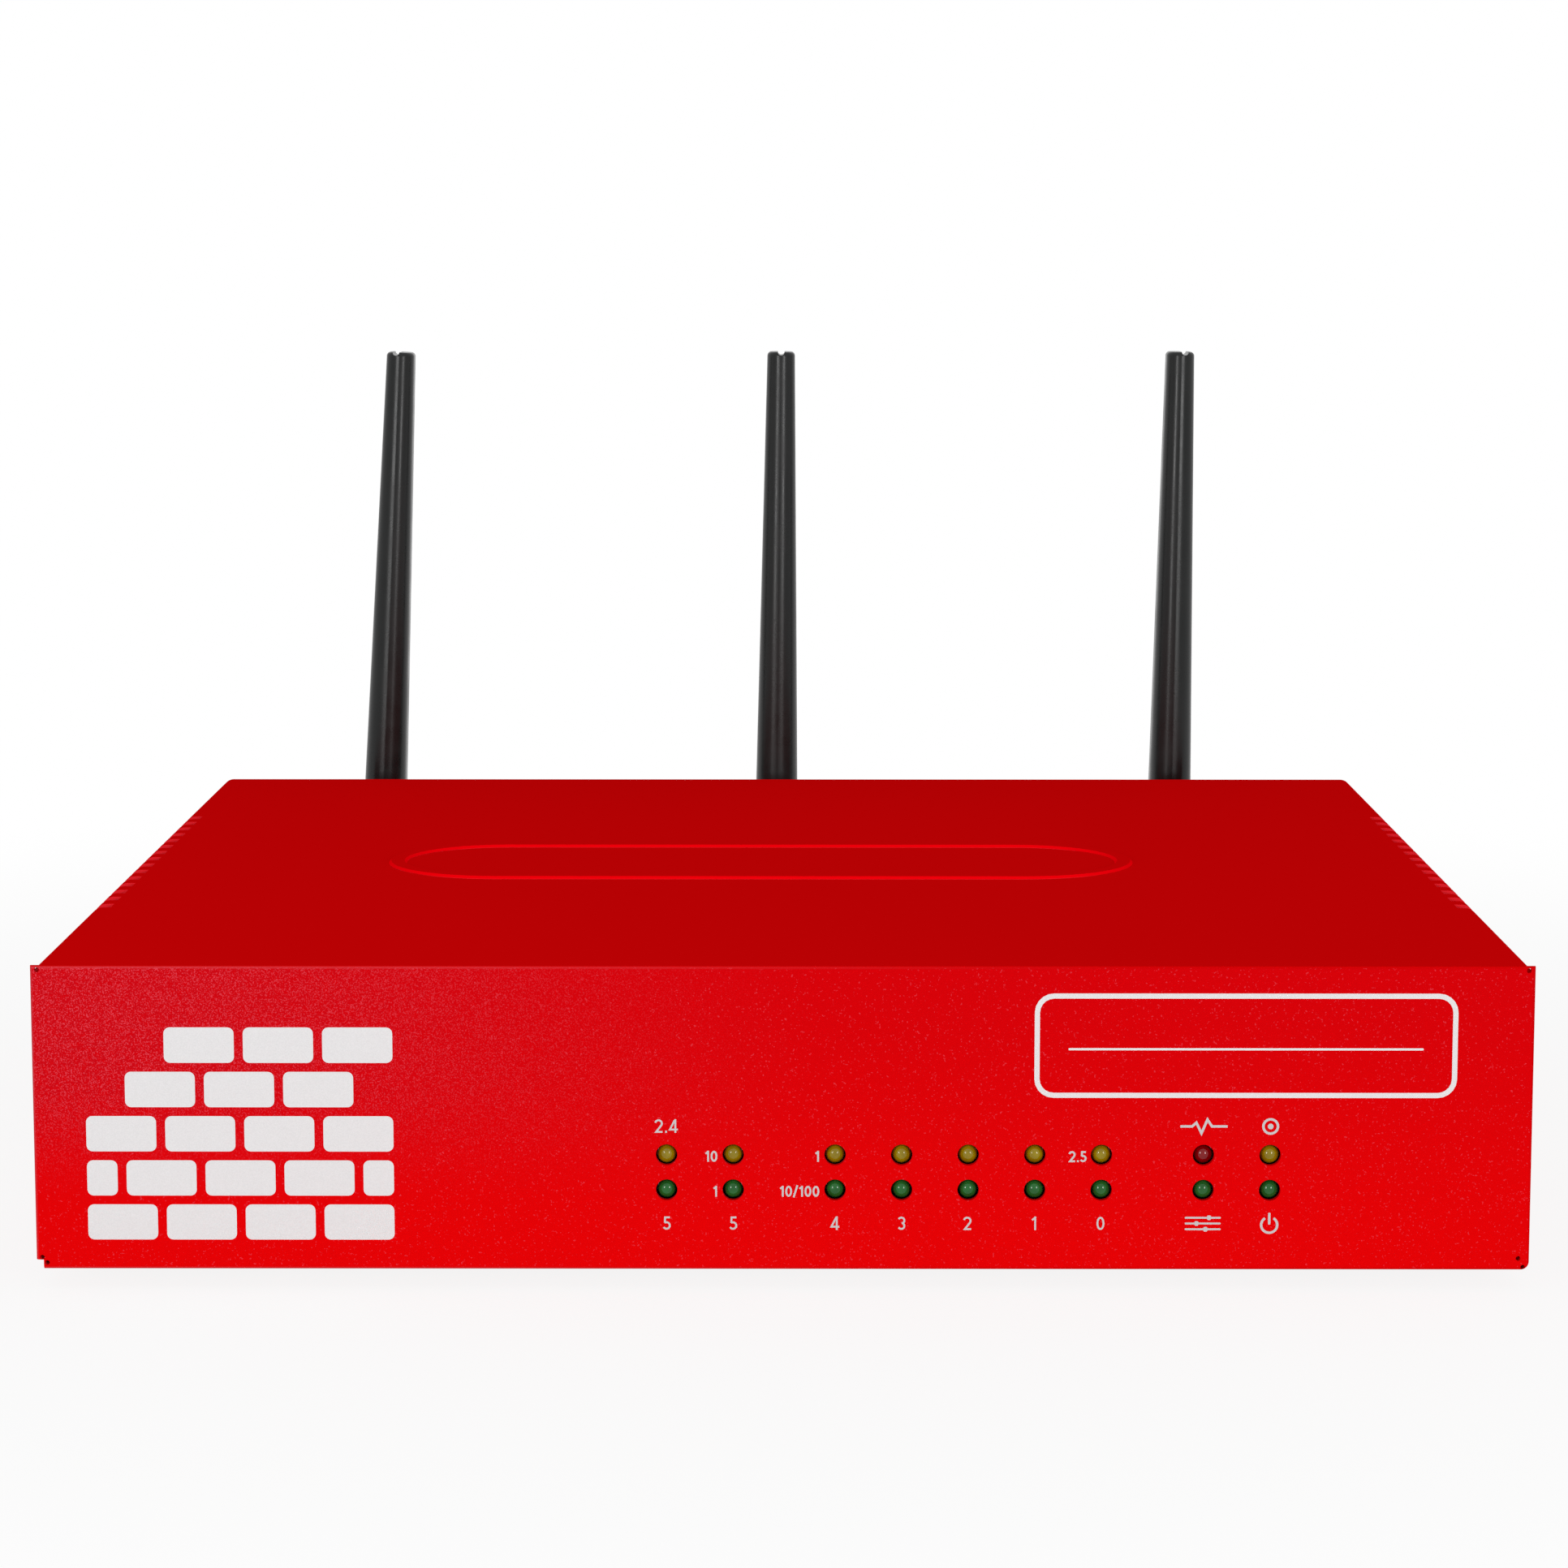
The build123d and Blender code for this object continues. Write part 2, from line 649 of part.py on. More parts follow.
hub_top = fan_z + fan_height - fan_motor_height - rotor_gap
hub_z = fan_z + rotor_gap
with BuildPart() as fan_rotor:
    with BuildSketch(Plane.XY.offset(hub_z)):
        with Locations((processor_x, processor_y)):
            Circle(rotor_hub_radius)
    extrude(amount=hub_top - hub_z)
    rotor_tip_radius = fan_bore_radius - rotor_tip_gap
    blade_middle = (rotor_hub_radius + rotor_tip_radius) / 2
    blade_span = rotor_tip_radius - rotor_hub_radius
    with Locations((processor_x, processor_y, (hub_z + hub_top) / 2)):
        with PolarLocations(blade_middle, rotor_blades):
            Box(blade_span + 2 * rotor_blade_root, rotor_blade_chord, rotor_blade_thickness,
                rotation=(rotor_blade_pitch, 0, 0))
    with BuildSketch(Plane.XY.offset(hub_z)):
        with Locations((processor_x, processor_y)):
            Circle(rotor_tip_radius)
    extrude(amount=hub_top - hub_z, mode=Mode.INTERSECT)
    with Locations((processor_x, processor_y, hub_top)):
        Cylinder(shaft_radius, rotor_gap + shaft_seat, align=CENTRED)
save(fan_rotor, "fan_rotor")

fan_screws = screws(fan_screw_places, fan_z + fan_height, fan_screw_radius, fan_height + fan_screw_grip,
                    m3_head_radius, m3_head_height)
save(fan_screws, "fan_screws")

# ---------------------------------------------------------------- memory, coin cell and radio card

with BuildPart() as memory_chips:
    with Locations((processor_x - memory_offset, processor_y, board_top)):
        with GridLocations(0, memory_pitch, 1, memory_count):
            Box(*memory_size, align=CENTRED)
save(memory_chips, "memory_chips")

cell_y = front_y + cell_back
with BuildPart() as coin_cell_holder:
    with Locations((cell_x, cell_y, board_top)):
        Cylinder(cell_radius + cell_gap + cell_holder_wall, cell_holder_rise, align=CENTRED)
    with Locations((cell_x, cell_y, board_top + cell_holder_floor)):
        Cylinder(cell_radius + cell_gap, cell_holder_rise, align=CENTRED, mode=Mode.SUBTRACT)
        Box(4 * cell_radius, cell_radius, cell_holder_rise, align=CENTRED, mode=Mode.SUBTRACT)
save(coin_cell_holder, "coin_cell_holder")

with BuildPart() as coin_cell:
    with Locations((cell_x, cell_y, board_top + cell_holder_floor)):
        Cylinder(cell_radius, cell_height, align=CENTRED)
    fillet(coin_cell.edges(), cell_round)
save(coin_cell, "coin_cell")

with BuildPart() as radio_card_socket:
    with Locations((card_x, socket_y, board_top)):
        Box(card_width + 2 * socket_wall, socket_depth, socket_height, align=FRONTED)
    with Locations((card_x, card_y - card_gap, card_z - card_gap)):
        Box(card_width + 2 * card_gap, socket_depth, card_thickness + 2 * card_gap, align=FRONTED,
            mode=Mode.SUBTRACT)
save(radio_card_socket, "radio_card_socket")

with BuildPart() as radio_card:
    with Locations((card_x, card_y, card_z)):
        Box(card_width, card_length, card_thickness, align=FRONTED)
    with Locations((card_x, card_y + card_length / 2, card_z + card_thickness)):
        Box(*card_chip, align=CENTRED)
    with Locations([(x, card_plug_y, card_z + card_thickness) for x in plug_xs.values()]):
        Cylinder(card_plug_radius, card_plug_height, align=CENTRED)
    with Locations((card_x, card_post_y, card_z)):
        Cylinder(card_screw_radius + m3_hole_gap, 4 * card_thickness, mode=Mode.SUBTRACT)
save(radio_card, "radio_card")

card_screw_length = card_thickness + card_height - card_gap
radio_card_screw = screws([(card_x, card_post_y)], card_z + card_thickness, card_screw_radius,
                          card_screw_length, card_screw_head_radius, card_screw_head_height)
save(radio_card_screw, "radio_card_screw")

# ---------------------------------------------------------------- indicator lights and their holders

holder_y = front_y + holder_setback
light_end_y = holder_y + holder_bore_depth
holder_top = upper_light_z + light_radius + holder_wall

with BuildPart() as light_holders:
    with Locations([(x, holder_y, board_top) for x in light_xs]):
        Box(holder_width, holder_depth, holder_top - board_top, align=FRONTED)
    with Locations([(x, holder_y, z) for x in light_xs for z in (lower_light_z, upper_light_z)]):
        Cylinder(light_radius + holder_bore_gap, holder_bore_depth + holder_bore_gap, rotation=TO_REAR,
                 align=CENTRED, mode=Mode.SUBTRACT)
save(light_holders, "light_holders")


def lights(places):
    """A group of round-nosed lights, each at (x, z), that reach from their holders into the front panel."""
    nose_y = front_y + light_recess + light_radius
    with BuildPart() as group:
        with Locations([(x, nose_y, z) for x, z in places]):
            Cylinder(light_radius, light_end_y - nose_y, rotation=TO_REAR, align=CENTRED)
            Sphere(light_radius)
    return group


red_light = lights([(light_xs[red_column_index], upper_light_z)])
save(red_light, "red_light")
amber_lights = lights([(x, upper_light_z) for i, x in enumerate(light_xs) if i != red_column_index])
save(amber_lights, "amber_lights")
green_lights = lights([(x, lower_light_z) for x in light_xs])
save(green_lights, "green_lights")

# ---------------------------------------------------------------- sockets on the rear panel


def rj45_jack(x):
    """A shielded eight-way jack on the board, its latch slot below its mouth."""
    mouth_z = board_top + rj45_mouth_rise
    with BuildPart() as jack:
        with Locations((x, port_face_y, board_top)):
            Box(rj45_width, rj45_depth, rj45_height, align=BACKED)
        fillet(jack.edges().filter_by(Axis.Y), port_round)
        with Locations((x, port_face_y, mouth_z)):
            Box(rj45_mouth[0], rj45_mouth_depth, rj45_mouth[1], align=BACKED, mode=Mode.SUBTRACT)
            Box(rj45_key[0], rj45_mouth_depth, 2 * rj45_key[1], (0, 0, 0),
                (Align.CENTER, Align.MAX, Align.CENTER), mode=Mode.SUBTRACT)
            Box(rj45_key_step[0], rj45_mouth_depth, 2 * (rj45_key[1] + rj45_key_step[1]), (0, 0, 0),
                (Align.CENTER, Align.MAX, Align.CENTER), mode=Mode.SUBTRACT)
    return jack


for i, x in enumerate(network_jack_xs):
    save(rj45_jack(x), f"network_jack_{network_jack_count - 1 - i}")
save(rj45_jack(console_x), "console_jack")

with BuildPart() as sfp_cage:
    with Locations((sfp_x, port_face_y, board_top)):
        Box(sfp_width, sfp_depth, sfp_height, align=BACKED)
    with Locations((sfp_x, port_face_y, board_top + sfp_wall)):
        Box(sfp_width - 2 * sfp_wall, sfp_depth - sfp_block, sfp_height - 2 * sfp_wall, align=BACKED,
            mode=Mode.SUBTRACT)
save(sfp_cage, "sfp_cage")

with BuildPart() as usb_jack:
    with Locations((usb_x, port_face_y, board_top)):
        Box(usb_width, usb_depth, usb_height, align=BACKED)
    fillet(usb_jack.edges().filter_by(Axis.Y), port_round)
    for level in range(2):
        slot_z = board_top + usb_slot_rise + level * usb_slot_pitch
        with Locations((usb_x, port_face_y, slot_z)):
            Box(usb_slot[0], usb_slot_depth, usb_slot[1], align=BACKED, mode=Mode.SUBTRACT)
        tongue_z = slot_z + usb_slot[1] - usb_tongue[1] - usb_tongue_drop
        with Locations((usb_x, port_face_y - usb_tongue_recess, tongue_z)):
            Box(usb_tongue[0], usb_slot_depth - usb_tongue_recess, usb_tongue[1], align=BACKED)
save(usb_jack, "usb_jack")

with BuildPart() as power_jack:
    with Locations((power_x, port_face_y, board_top)):
        Box(power_width, power_depth, power_height, align=BACKED)
    fillet(power_jack.edges().filter_by(Axis.Y), port_round)
    with Locations((power_x, port_face_y, board_top + power_bore_rise)):
        Cylinder(power_bore_radius, power_bore_depth, rotation=TO_REAR,
                 align=(Align.CENTER, Align.CENTER, Align.MAX), mode=Mode.SUBTRACT)
    with Locations((power_x, port_face_y - power_bore_depth, board_top + power_bore_rise)):
        Cylinder(power_pin_radius, power_bore_depth - power_pin_recess, rotation=TO_REAR, align=CENTRED)
save(power_jack, "power_jack")

# ---------------------------------------------------------------- reset button and power switch

reset_switch_y = rear_y - reset_switch_setback  # the switch's rear face
reset_inner_y = reset_switch_y - reset_engagement
with BuildPart() as reset_switch:
    with Locations((reset_x, reset_switch_y, board_top)):
        Box(*reset_switch_size, align=BACKED)
    with Locations((reset_x, reset_switch_y, reset_z)):
        Cylinder(reset_radius + reset_bore_gap, reset_engagement + reset_travel + reset_bore_gap,
                 rotation=TO_REAR, align=(Align.CENTER, Align.CENTER, Align.MAX), mode=Mode.SUBTRACT)
save(reset_switch, "reset_switch")

with BuildPart() as reset_button:
    with Locations((reset_x, reset_inner_y, reset_z)):
        Cylinder(reset_radius, rear_y - reset_recess - reset_inner_y, rotation=TO_REAR, align=CENTRED)
    fillet(reset_button.faces().sort_by(Axis.Y)[-1].edges(), reset_round)
save(reset_button, "reset_button")

rocker_face_y = rear_y + rocker_bezel_height
rocker_pivot_y = rocker_face_y - rocker_pivot_depth
pocket_width = rocker_body[0] - 2 * rocker_wall
pocket_height = 2 * (rocker_end_radius + rocker_end_gap)
rocker_width = pocket_width - 2 * rocker_side_gap
with BuildPart() as power_switch_frame:
    with BuildSketch(upright(rear_y)):
        with Locations((rocker_x, rocker_z)):
            RectangleRounded(*rocker_bezel, rocker_bezel_round)
    extrude(amount=-rocker_bezel_height)
    fillet(power_switch_frame.faces().sort_by(Axis.Y)[-1].edges(), rocker_bezel_edge)
    with Locations((rocker_x, rear_y, rocker_z)):
        Box(rocker_body[0], rocker_body_depth, rocker_body[1], (0, 0, 0),
            (Align.CENTER, Align.MAX, Align.CENTER))
    with Locations((rocker_x, rocker_face_y, rocker_z)):
        Box(pocket_width, rocker_pocket_depth, pocket_height, (0, 0, 0),
            (Align.CENTER, Align.MAX, Align.CENTER), mode=Mode.SUBTRACT)
    with Locations((rocker_x, rocker_pivot_y, rocker_z)):
        Cylinder(rocker_pin_radius + rocker_pin_gap, pocket_width + 2 * (rocker_pin_seat + rocker_pin_gap),
                 rotation=TO_RIGHT, mode=Mode.SUBTRACT)
save(power_switch_frame, "power_switch_frame")

# The rocker is drawn level around its pivot, and stands tilted with its upper end pressed in.
rocker_frame = Plane(
    origin=(rocker_x - rocker_width / 2, rocker_pivot_y, rocker_z),
    x_dir=Vector(0, 1, 0).rotate(Axis.X, rocker_tilt),
    z_dir=(1, 0, 0),
)
rocker_lip = math.sqrt(rocker_end_radius**2 - rocker_lip_half**2)
with BuildPart() as power_rocker:
    with BuildSketch(rocker_frame):
        with BuildLine():
            Polyline(
                (rocker_lip, rocker_lip_half),
                (-rocker_keel / 2, rocker_shoulder),
                (-rocker_keel, rocker_keel_half),
                (-rocker_keel, -rocker_keel_half),
                (-rocker_keel / 2, -rocker_shoulder),
                (rocker_lip, -rocker_lip_half),
                (rocker_lip - rocker_dish, 0),
                close=True,
            )
        make_face()
    extrude(amount=rocker_width)
    with Locations((rocker_x, rocker_pivot_y, rocker_z)):
        Cylinder(rocker_pin_radius, pocket_width + 2 * rocker_pin_seat, rotation=TO_RIGHT)
save(power_rocker, "power_rocker")

# ---------------------------------------------------------------- antenna jacks and their leads

hex_radius = jack_hex_flats / math.sqrt(3)
for side, x, lean in antennas:
    with BuildPart() as antenna_jack:
        with BuildSketch(upright(rear_y - sheet)):
            with Locations((x, antenna_z)):
                RegularPolygon(hex_radius, 6)
        extrude(amount=jack_hex_height)
        with Locations((x, rear_y - sheet, antenna_z)):
            Cylinder(jack_radius, sheet + jack_reach, rotation=TO_REAR, align=CENTRED)
        with Locations((x, jack_tail_y, antenna_z)):
            Cylinder(jack_tail_radius, jack_tail_length, rotation=TO_REAR, align=CENTRED)
    save(antenna_jack, f"antenna_jack_{side}")

with BuildPart() as antenna_jack_nuts:
    with BuildSketch(upright(rear_y)):
        for _, x, _ in antennas:
            with Locations((x, antenna_z)):
                RegularPolygon(hex_radius, 6)
                Circle(jack_radius + coupling_thread_gap, mode=Mode.SUBTRACT)
    extrude(amount=-jack_hex_height)
save(antenna_jack_nuts, "antenna_jack_nuts")

# The middle points of each lead's route are chosen by hand: x, distance in front of the rear panel, height.
lead_routes = {
    "left": ((-6.0, 46.0, 21.0), (-33.0, 42.0, 31.0), (-62.0, 38.0, 37.0)),
    "centre": ((12.0, 38.5, 24.0),),
    "right": ((43.0, 46.0, 21.0), (60.0, 41.0, 31.0)),
}


def turn_radii(points):
    """The radius at each inner point: 0.45 of the shorter run beside it over the tangent of half the turn."""
    corners = [Vector(*point) for point in points]
    radii = []
    for before, at, after in zip(corners, corners[1:], corners[2:]):
        half_turn = math.radians((at - before).get_angle(after - at) / 2)
        radii.append(0.45 * min((at - before).length, (after - at).length) / math.tan(half_turn))
    return radii


for side, x, lean in antennas:
    lead_z = plug_top + lead_plug_height / 2
    middle = [(px, rear_y - back, pz) for px, back, pz in lead_routes[side]]
    points = [(plug_xs[side], card_plug_y, lead_z)] + middle
    points += [(x, jack_tail_y - lead_last_run, antenna_z), (x, jack_tail_y, antenna_z)]
    radii = turn_radii(points)
    with BuildPart() as antenna_lead:
        with BuildLine():
            route = FilletPolyline(*points, radius=radii)
        with BuildSketch(Plane(origin=route @ 0, z_dir=route % 0)):
            Circle(lead_radius)
        sweep(path=route)
        with Locations((plug_xs[side], card_plug_y, plug_top)):
            Cylinder(lead_plug_radius, lead_plug_height, align=CENTRED)
    lead_volume = math.pi * lead_radius**2 * route.length
    print(f"lead {side}: length {route.length:.1f}, radii {[round(r, 1) for r in radii]}, "
          f"volume {antenna_lead.part.volume:.1f} against {lead_volume:.1f} without its plug")
    save(antenna_lead, f"antenna_lead_{side}")

# ---------------------------------------------------------------- antennas


def stand(piece, x, lean, name):
    """Set a piece that is drawn around the hinge pin on its connector, with its lean, and save it."""
    with BuildPart() as placed:
        with Locations(Location((x, pivot_y, antenna_z), (0, lean, 0))):
            add(piece.part)
    save(placed, name)


# Pieces below are drawn with the hinge pin's middle at the origin.
collar_front = coupling_rear + collar_gap - pivot_back
collar_end = -tongue_radius - 2 * tongue_gap
flange_front = jack_reach + collar_gap - pivot_back
lip_front = coupling_rear - coupling_lip - pivot_back
swivel_width = tongue_thickness + 2 * tongue_gap + 2 * ear_thickness

with BuildPart() as coupling_nut:
    with BuildSketch(upright(coupling_rear - pivot_back)):
        Circle(coupling_radius)
        with PolarLocations(coupling_radius, coupling_knurls):
            Circle(coupling_knurl_depth, mode=Mode.SUBTRACT)
    extrude(amount=coupling_rear - coupling_front)
    with Locations((0, lip_front, 0)):
        Cylinder(jack_radius + coupling_thread_gap, coupling_rear, rotation=TO_REAR,
                 align=(Align.CENTER, Align.CENTER, Align.MAX), mode=Mode.SUBTRACT)
        Cylinder(neck_radius + neck_gap, 4 * coupling_lip, rotation=TO_REAR, mode=Mode.SUBTRACT)

with BuildPart() as swivel_base:
    with Locations((0, flange_front, 0)):
        Cylinder(neck_flange_radius, neck_flange_height, rotation=TO_REAR, align=CENTRED)
        Cylinder(neck_radius, collar_front - flange_front, rotation=TO_REAR, align=CENTRED)
    with Locations((0, collar_front, 0)):
        Cylinder(collar_radius, collar_end - collar_front, rotation=TO_REAR, align=CENTRED)
    with BuildSketch(Plane.YZ.offset(-swivel_width / 2)):
        Circle(ear_radius)
        with Locations((collar_end, 0)):
            Rectangle(-collar_end, 2 * ear_radius, align=(Align.MIN, Align.CENTER))
    extrude(amount=swivel_width)
    with Locations((0, collar_end, 0)):
        Box(tongue_thickness + 2 * tongue_gap, 4 * ear_radius, 4 * ear_radius, (0, 0, 0),
            (Align.CENTER, Align.MIN, Align.CENTER), mode=Mode.SUBTRACT)
    Cylinder(pin_radius + pin_gap, 2 * swivel_width, rotation=TO_RIGHT, mode=Mode.SUBTRACT)

with BuildPart() as hinge_pin:
    Cylinder(pin_radius, swivel_width, rotation=TO_RIGHT)

with BuildPart() as blade:
    with BuildSketch(Plane.XY.offset(blade_start)):
        RectangleRounded(*blade_foot, (blade_foot[0] - blade_flat) / 2)
    with BuildSketch(Plane.XY.offset(blade_length)):
        RectangleRounded(*blade_tip, (blade_tip[0] - blade_flat) / 2)
    loft()
    fillet(blade.faces().sort_by(Axis.Z)[-1].edges(), blade_end_round)
    fillet(blade.faces().sort_by(Axis.Z)[0].edges(), blade_end_round)
    with BuildSketch(Plane.YZ.offset(-tongue_thickness / 2)):
        Circle(tongue_radius)
        Rectangle(2 * tongue_radius, blade_start + blade_end_round, align=(Align.CENTER, Align.MIN))
    extrude(amount=tongue_thickness)
    Cylinder(pin_radius + pin_gap, 2 * swivel_width, rotation=TO_RIGHT, mode=Mode.SUBTRACT)

for side, x, lean in antennas:
    stand(coupling_nut, x, lean, f"coupling_nut_{side}")
    stand(swivel_base, x, lean, f"swivel_base_{side}")
    stand(hinge_pin, x, lean, f"hinge_pin_{side}")
    with BuildPart() as notched_blade:
        add(blade.part)
        with Locations((tip_notch_x[side], 0, blade_length)):
            Cylinder(tip_notch_radius, 2 * blade_tip[1], rotation=TO_REAR, mode=Mode.SUBTRACT)
    stand(notched_blade, x, lean, f"blade_{side}")
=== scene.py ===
"""Desktop firewall appliance: its finishes, its print and the pieces that its solids leave out.

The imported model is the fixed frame. Lengths are in metres, +X is right as seen from the front,
+Y is to the rear and +Z is up.
"""

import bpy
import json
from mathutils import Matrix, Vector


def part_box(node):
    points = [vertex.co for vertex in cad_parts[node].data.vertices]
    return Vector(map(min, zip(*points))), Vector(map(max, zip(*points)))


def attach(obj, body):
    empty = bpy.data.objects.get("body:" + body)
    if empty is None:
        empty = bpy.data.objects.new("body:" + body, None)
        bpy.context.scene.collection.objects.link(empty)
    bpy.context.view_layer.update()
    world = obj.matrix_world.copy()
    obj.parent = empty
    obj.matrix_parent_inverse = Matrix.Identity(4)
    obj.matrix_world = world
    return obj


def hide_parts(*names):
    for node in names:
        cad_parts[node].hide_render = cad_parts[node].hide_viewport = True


bl_info = {
    "name": "Firewall appliance",
    "version": (1, 0, 0),
    "blender": (4, 5, 0),
    "location": "View3D > Sidebar > Appliance",
    "description": "Dresses a desktop firewall appliance with finishes, print and contacts",
    "category": "Object",
}

import json
import math

import bmesh
import bpy
from bpy.props import FloatProperty, FloatVectorProperty, IntProperty, PointerProperty
from bpy.types import Operator, Panel, PropertyGroup
from mathutils import Matrix, Vector

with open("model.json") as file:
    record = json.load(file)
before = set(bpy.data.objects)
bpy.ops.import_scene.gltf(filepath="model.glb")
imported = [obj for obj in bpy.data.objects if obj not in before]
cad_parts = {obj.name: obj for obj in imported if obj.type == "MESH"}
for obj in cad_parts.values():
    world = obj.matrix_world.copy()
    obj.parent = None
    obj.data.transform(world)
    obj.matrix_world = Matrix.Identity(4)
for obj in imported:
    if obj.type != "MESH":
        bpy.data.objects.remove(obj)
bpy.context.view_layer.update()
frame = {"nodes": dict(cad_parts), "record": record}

MM = 0.001
COVER_LOW, COVER_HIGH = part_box("cover")
FRONT_FACE = COVER_LOW.y
REAR_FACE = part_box("base_pan")[1].y
UNDERSIDE = COVER_LOW.z
LIGHT_COLUMNS = 9
NETWORK_JACKS = [f"network_jack_{i}" for i in range(5)]
MITRE_LIMIT = 0.35  # sharper corners of a line are cut short


# Settings


# What all lengths and all colours have in common
LENGTH = {"subtype": "DISTANCE", "unit": "LENGTH", "precision": 5}
COLOUR = {"subtype": "COLOR", "size": 3, "min": 0, "max": 1}


class PaintSettings(PropertyGroup):
    """Powder coat of the cover and the base pan, with the colours of the painted light and shade on
    it.
    """

    colour: FloatVectorProperty(
        name="Colour", description="Main colour of the powder coat", default=(0.77, 0.001, 0.002),
        **COLOUR,
    )
    # Painted shade: upright faces go from the main colour at the bottom to this darker colour at
    # the top
    shade: FloatVectorProperty(
        name="Shade", description="Colour of the front's upper edge, where the coat is duller",
        default=(0.655, 0.001, 0.003), **COLOUR,
    )
    # Painted glints: pale flecks that stand in for the orange peel catching the light
    fleck: FloatVectorProperty(
        name="Fleck", description="Colour of the fine pale flecks", default=(0.76, 0.065, 0.095),
        **COLOUR,
    )
    # Painted sheen and shade: a darker, bluer red at the front's upper left
    haze: FloatVectorProperty(
        name="Haze", description="Pale bloom of the coat at the front's upper left",
        default=(0.585, 0.003, 0.008), **COLOUR,
    )
    # Painted highlight on the front's folds, strongest at the left
    bend: FloatVectorProperty(
        name="Bend", description="Paler colour where the coat is thin over a fold",
        default=(0.80, 0.10, 0.13), **COLOUR,
    )
    # Painted light: faces turned to the front or the rear, such as the vent slots' far cut walls,
    # are paler, as if lit
    edge: FloatVectorProperty(
        name="Edge", description="Colour of the thin coat on the slots' cut edges",
        default=(0.90, 0.02, 0.03), **COLOUR,
    )
    # Painted highlight: the pressed outline's slopes in the top are brighter red
    crease: FloatVectorProperty(
        name="Crease", description="Colour of the pressed outline's slopes in the top",
        default=(1.0, 0.0, 0.004), **COLOUR,
    )
    peel: FloatProperty(
        name="Peel", description="Size of the coat's orange peel", default=0.7 * MM, min=0.1 * MM,
        **LENGTH,
    )
    grain: FloatProperty(
        name="Grain", description="Size of the flecks", default=0.2 * MM, min=0.05 * MM, **LENGTH,
    )


class PrintSettings(PropertyGroup):
    """Screen print on the front and the rear panel."""

    ink: FloatVectorProperty(
        name="Ink", description="Colour of the small numbers and marks", default=(0.60, 0.58, 0.59),
        **COLOUR,
    )
    white_ink: FloatVectorProperty(
        name="White ink", description="Colour of the large white pattern",
        default=(0.795, 0.79, 0.795), **COLOUR,
    )
    thickness: FloatProperty(
        name="Thickness", description="Thickness of the ink", default=0.03 * MM, min=0.01 * MM,
        **LENGTH,
    )
    number_height: FloatProperty(
        name="Number height", description="Height of the numbers over and under the lights",
        default=2.0 * MM, min=0.5 * MM, **LENGTH,
    )
    small_height: FloatProperty(
        name="Small number height", description="Height of the numbers between the lights",
        default=1.6 * MM, min=0.5 * MM, **LENGTH,
    )
    upper_line: FloatProperty(
        name="Upper line", description="Height of the upper marks' middle above the underside",
        default=21.2 * MM, **LENGTH,
    )
    lower_line: FloatProperty(
        name="Lower line", description="Height of the lower marks' middle above the underside",
        default=6.9 * MM, **LENGTH,
    )


class BrickSettings(PropertyGroup):
    """Large white brick pattern at the left of the front panel."""

    length: FloatProperty(
        name="Length", description="Length of a whole brick", default=11.4 * MM, min=2 * MM,
        **LENGTH,
    )
    height: FloatProperty(
        name="Height", description="Height of a course", default=5.2 * MM, min=1 * MM, **LENGTH,
    )
    joint: FloatProperty(
        name="Joint", description="Width of the joints between the bricks", default=1.3 * MM,
        min=0.2 * MM, **LENGTH,
    )
    left: FloatProperty(
        name="Left", description="From the panel's left edge to the pattern", default=7.0 * MM,
        **LENGTH,
    )
    bottom: FloatProperty(
        name="Bottom", description="From the underside to the pattern", default=4.4 * MM, **LENGTH,
    )


class SocketSettings(PropertyGroup):
    """Insides of the sockets on the rear panel."""

    mouth_width: FloatProperty(
        name="Mouth width", description="Width of a network jack's mouth", default=11.8 * MM,
        min=5 * MM, **LENGTH,
    )
    mouth_height: FloatProperty(
        name="Mouth height", description="Height of a network jack's mouth", default=7.0 * MM,
        min=3 * MM, **LENGTH,
    )
    mouth_depth: FloatProperty(
        name="Mouth depth", description="Depth of a network jack's mouth", default=14.0 * MM,
        min=5 * MM, **LENGTH,
    )
    mouth_rise: FloatProperty(
        name="Mouth rise", description="From the board to a network jack's mouth", default=4.2 * MM,
        **LENGTH,
    )
    usb_rise: FloatProperty(
        name="USB rise", description="From the board to the lower USB slot", default=1.3 * MM,
        **LENGTH,
    )
    usb_pitch: FloatProperty(
        name="USB pitch", description="From one USB slot to the other", default=7.8 * MM,
        min=5 * MM, **LENGTH,
    )
    usb_height: FloatProperty(
        name="USB height", description="Height of a USB slot", default=5.1 * MM, min=4 * MM,
        **LENGTH,
    )
    lining: FloatProperty(
        name="Lining", description="Wall of the plastic lining in a socket", default=0.16 * MM,
        min=0.05 * MM, **LENGTH,
    )
    contact_width: FloatProperty(
        name="Contact width", description="Width of a gold contact in a network jack",
        default=0.42 * MM, min=0.1 * MM, **LENGTH,
    )
    contact_pitch: FloatProperty(
        name="Contact pitch", description="Pitch of the contacts in a network jack",
        default=1.02 * MM, min=0.3 * MM, **LENGTH,
    )
    contact_count: IntProperty(
        name="Contacts", description="Number of contacts in a network jack", default=8, min=2,
        max=10,
    )


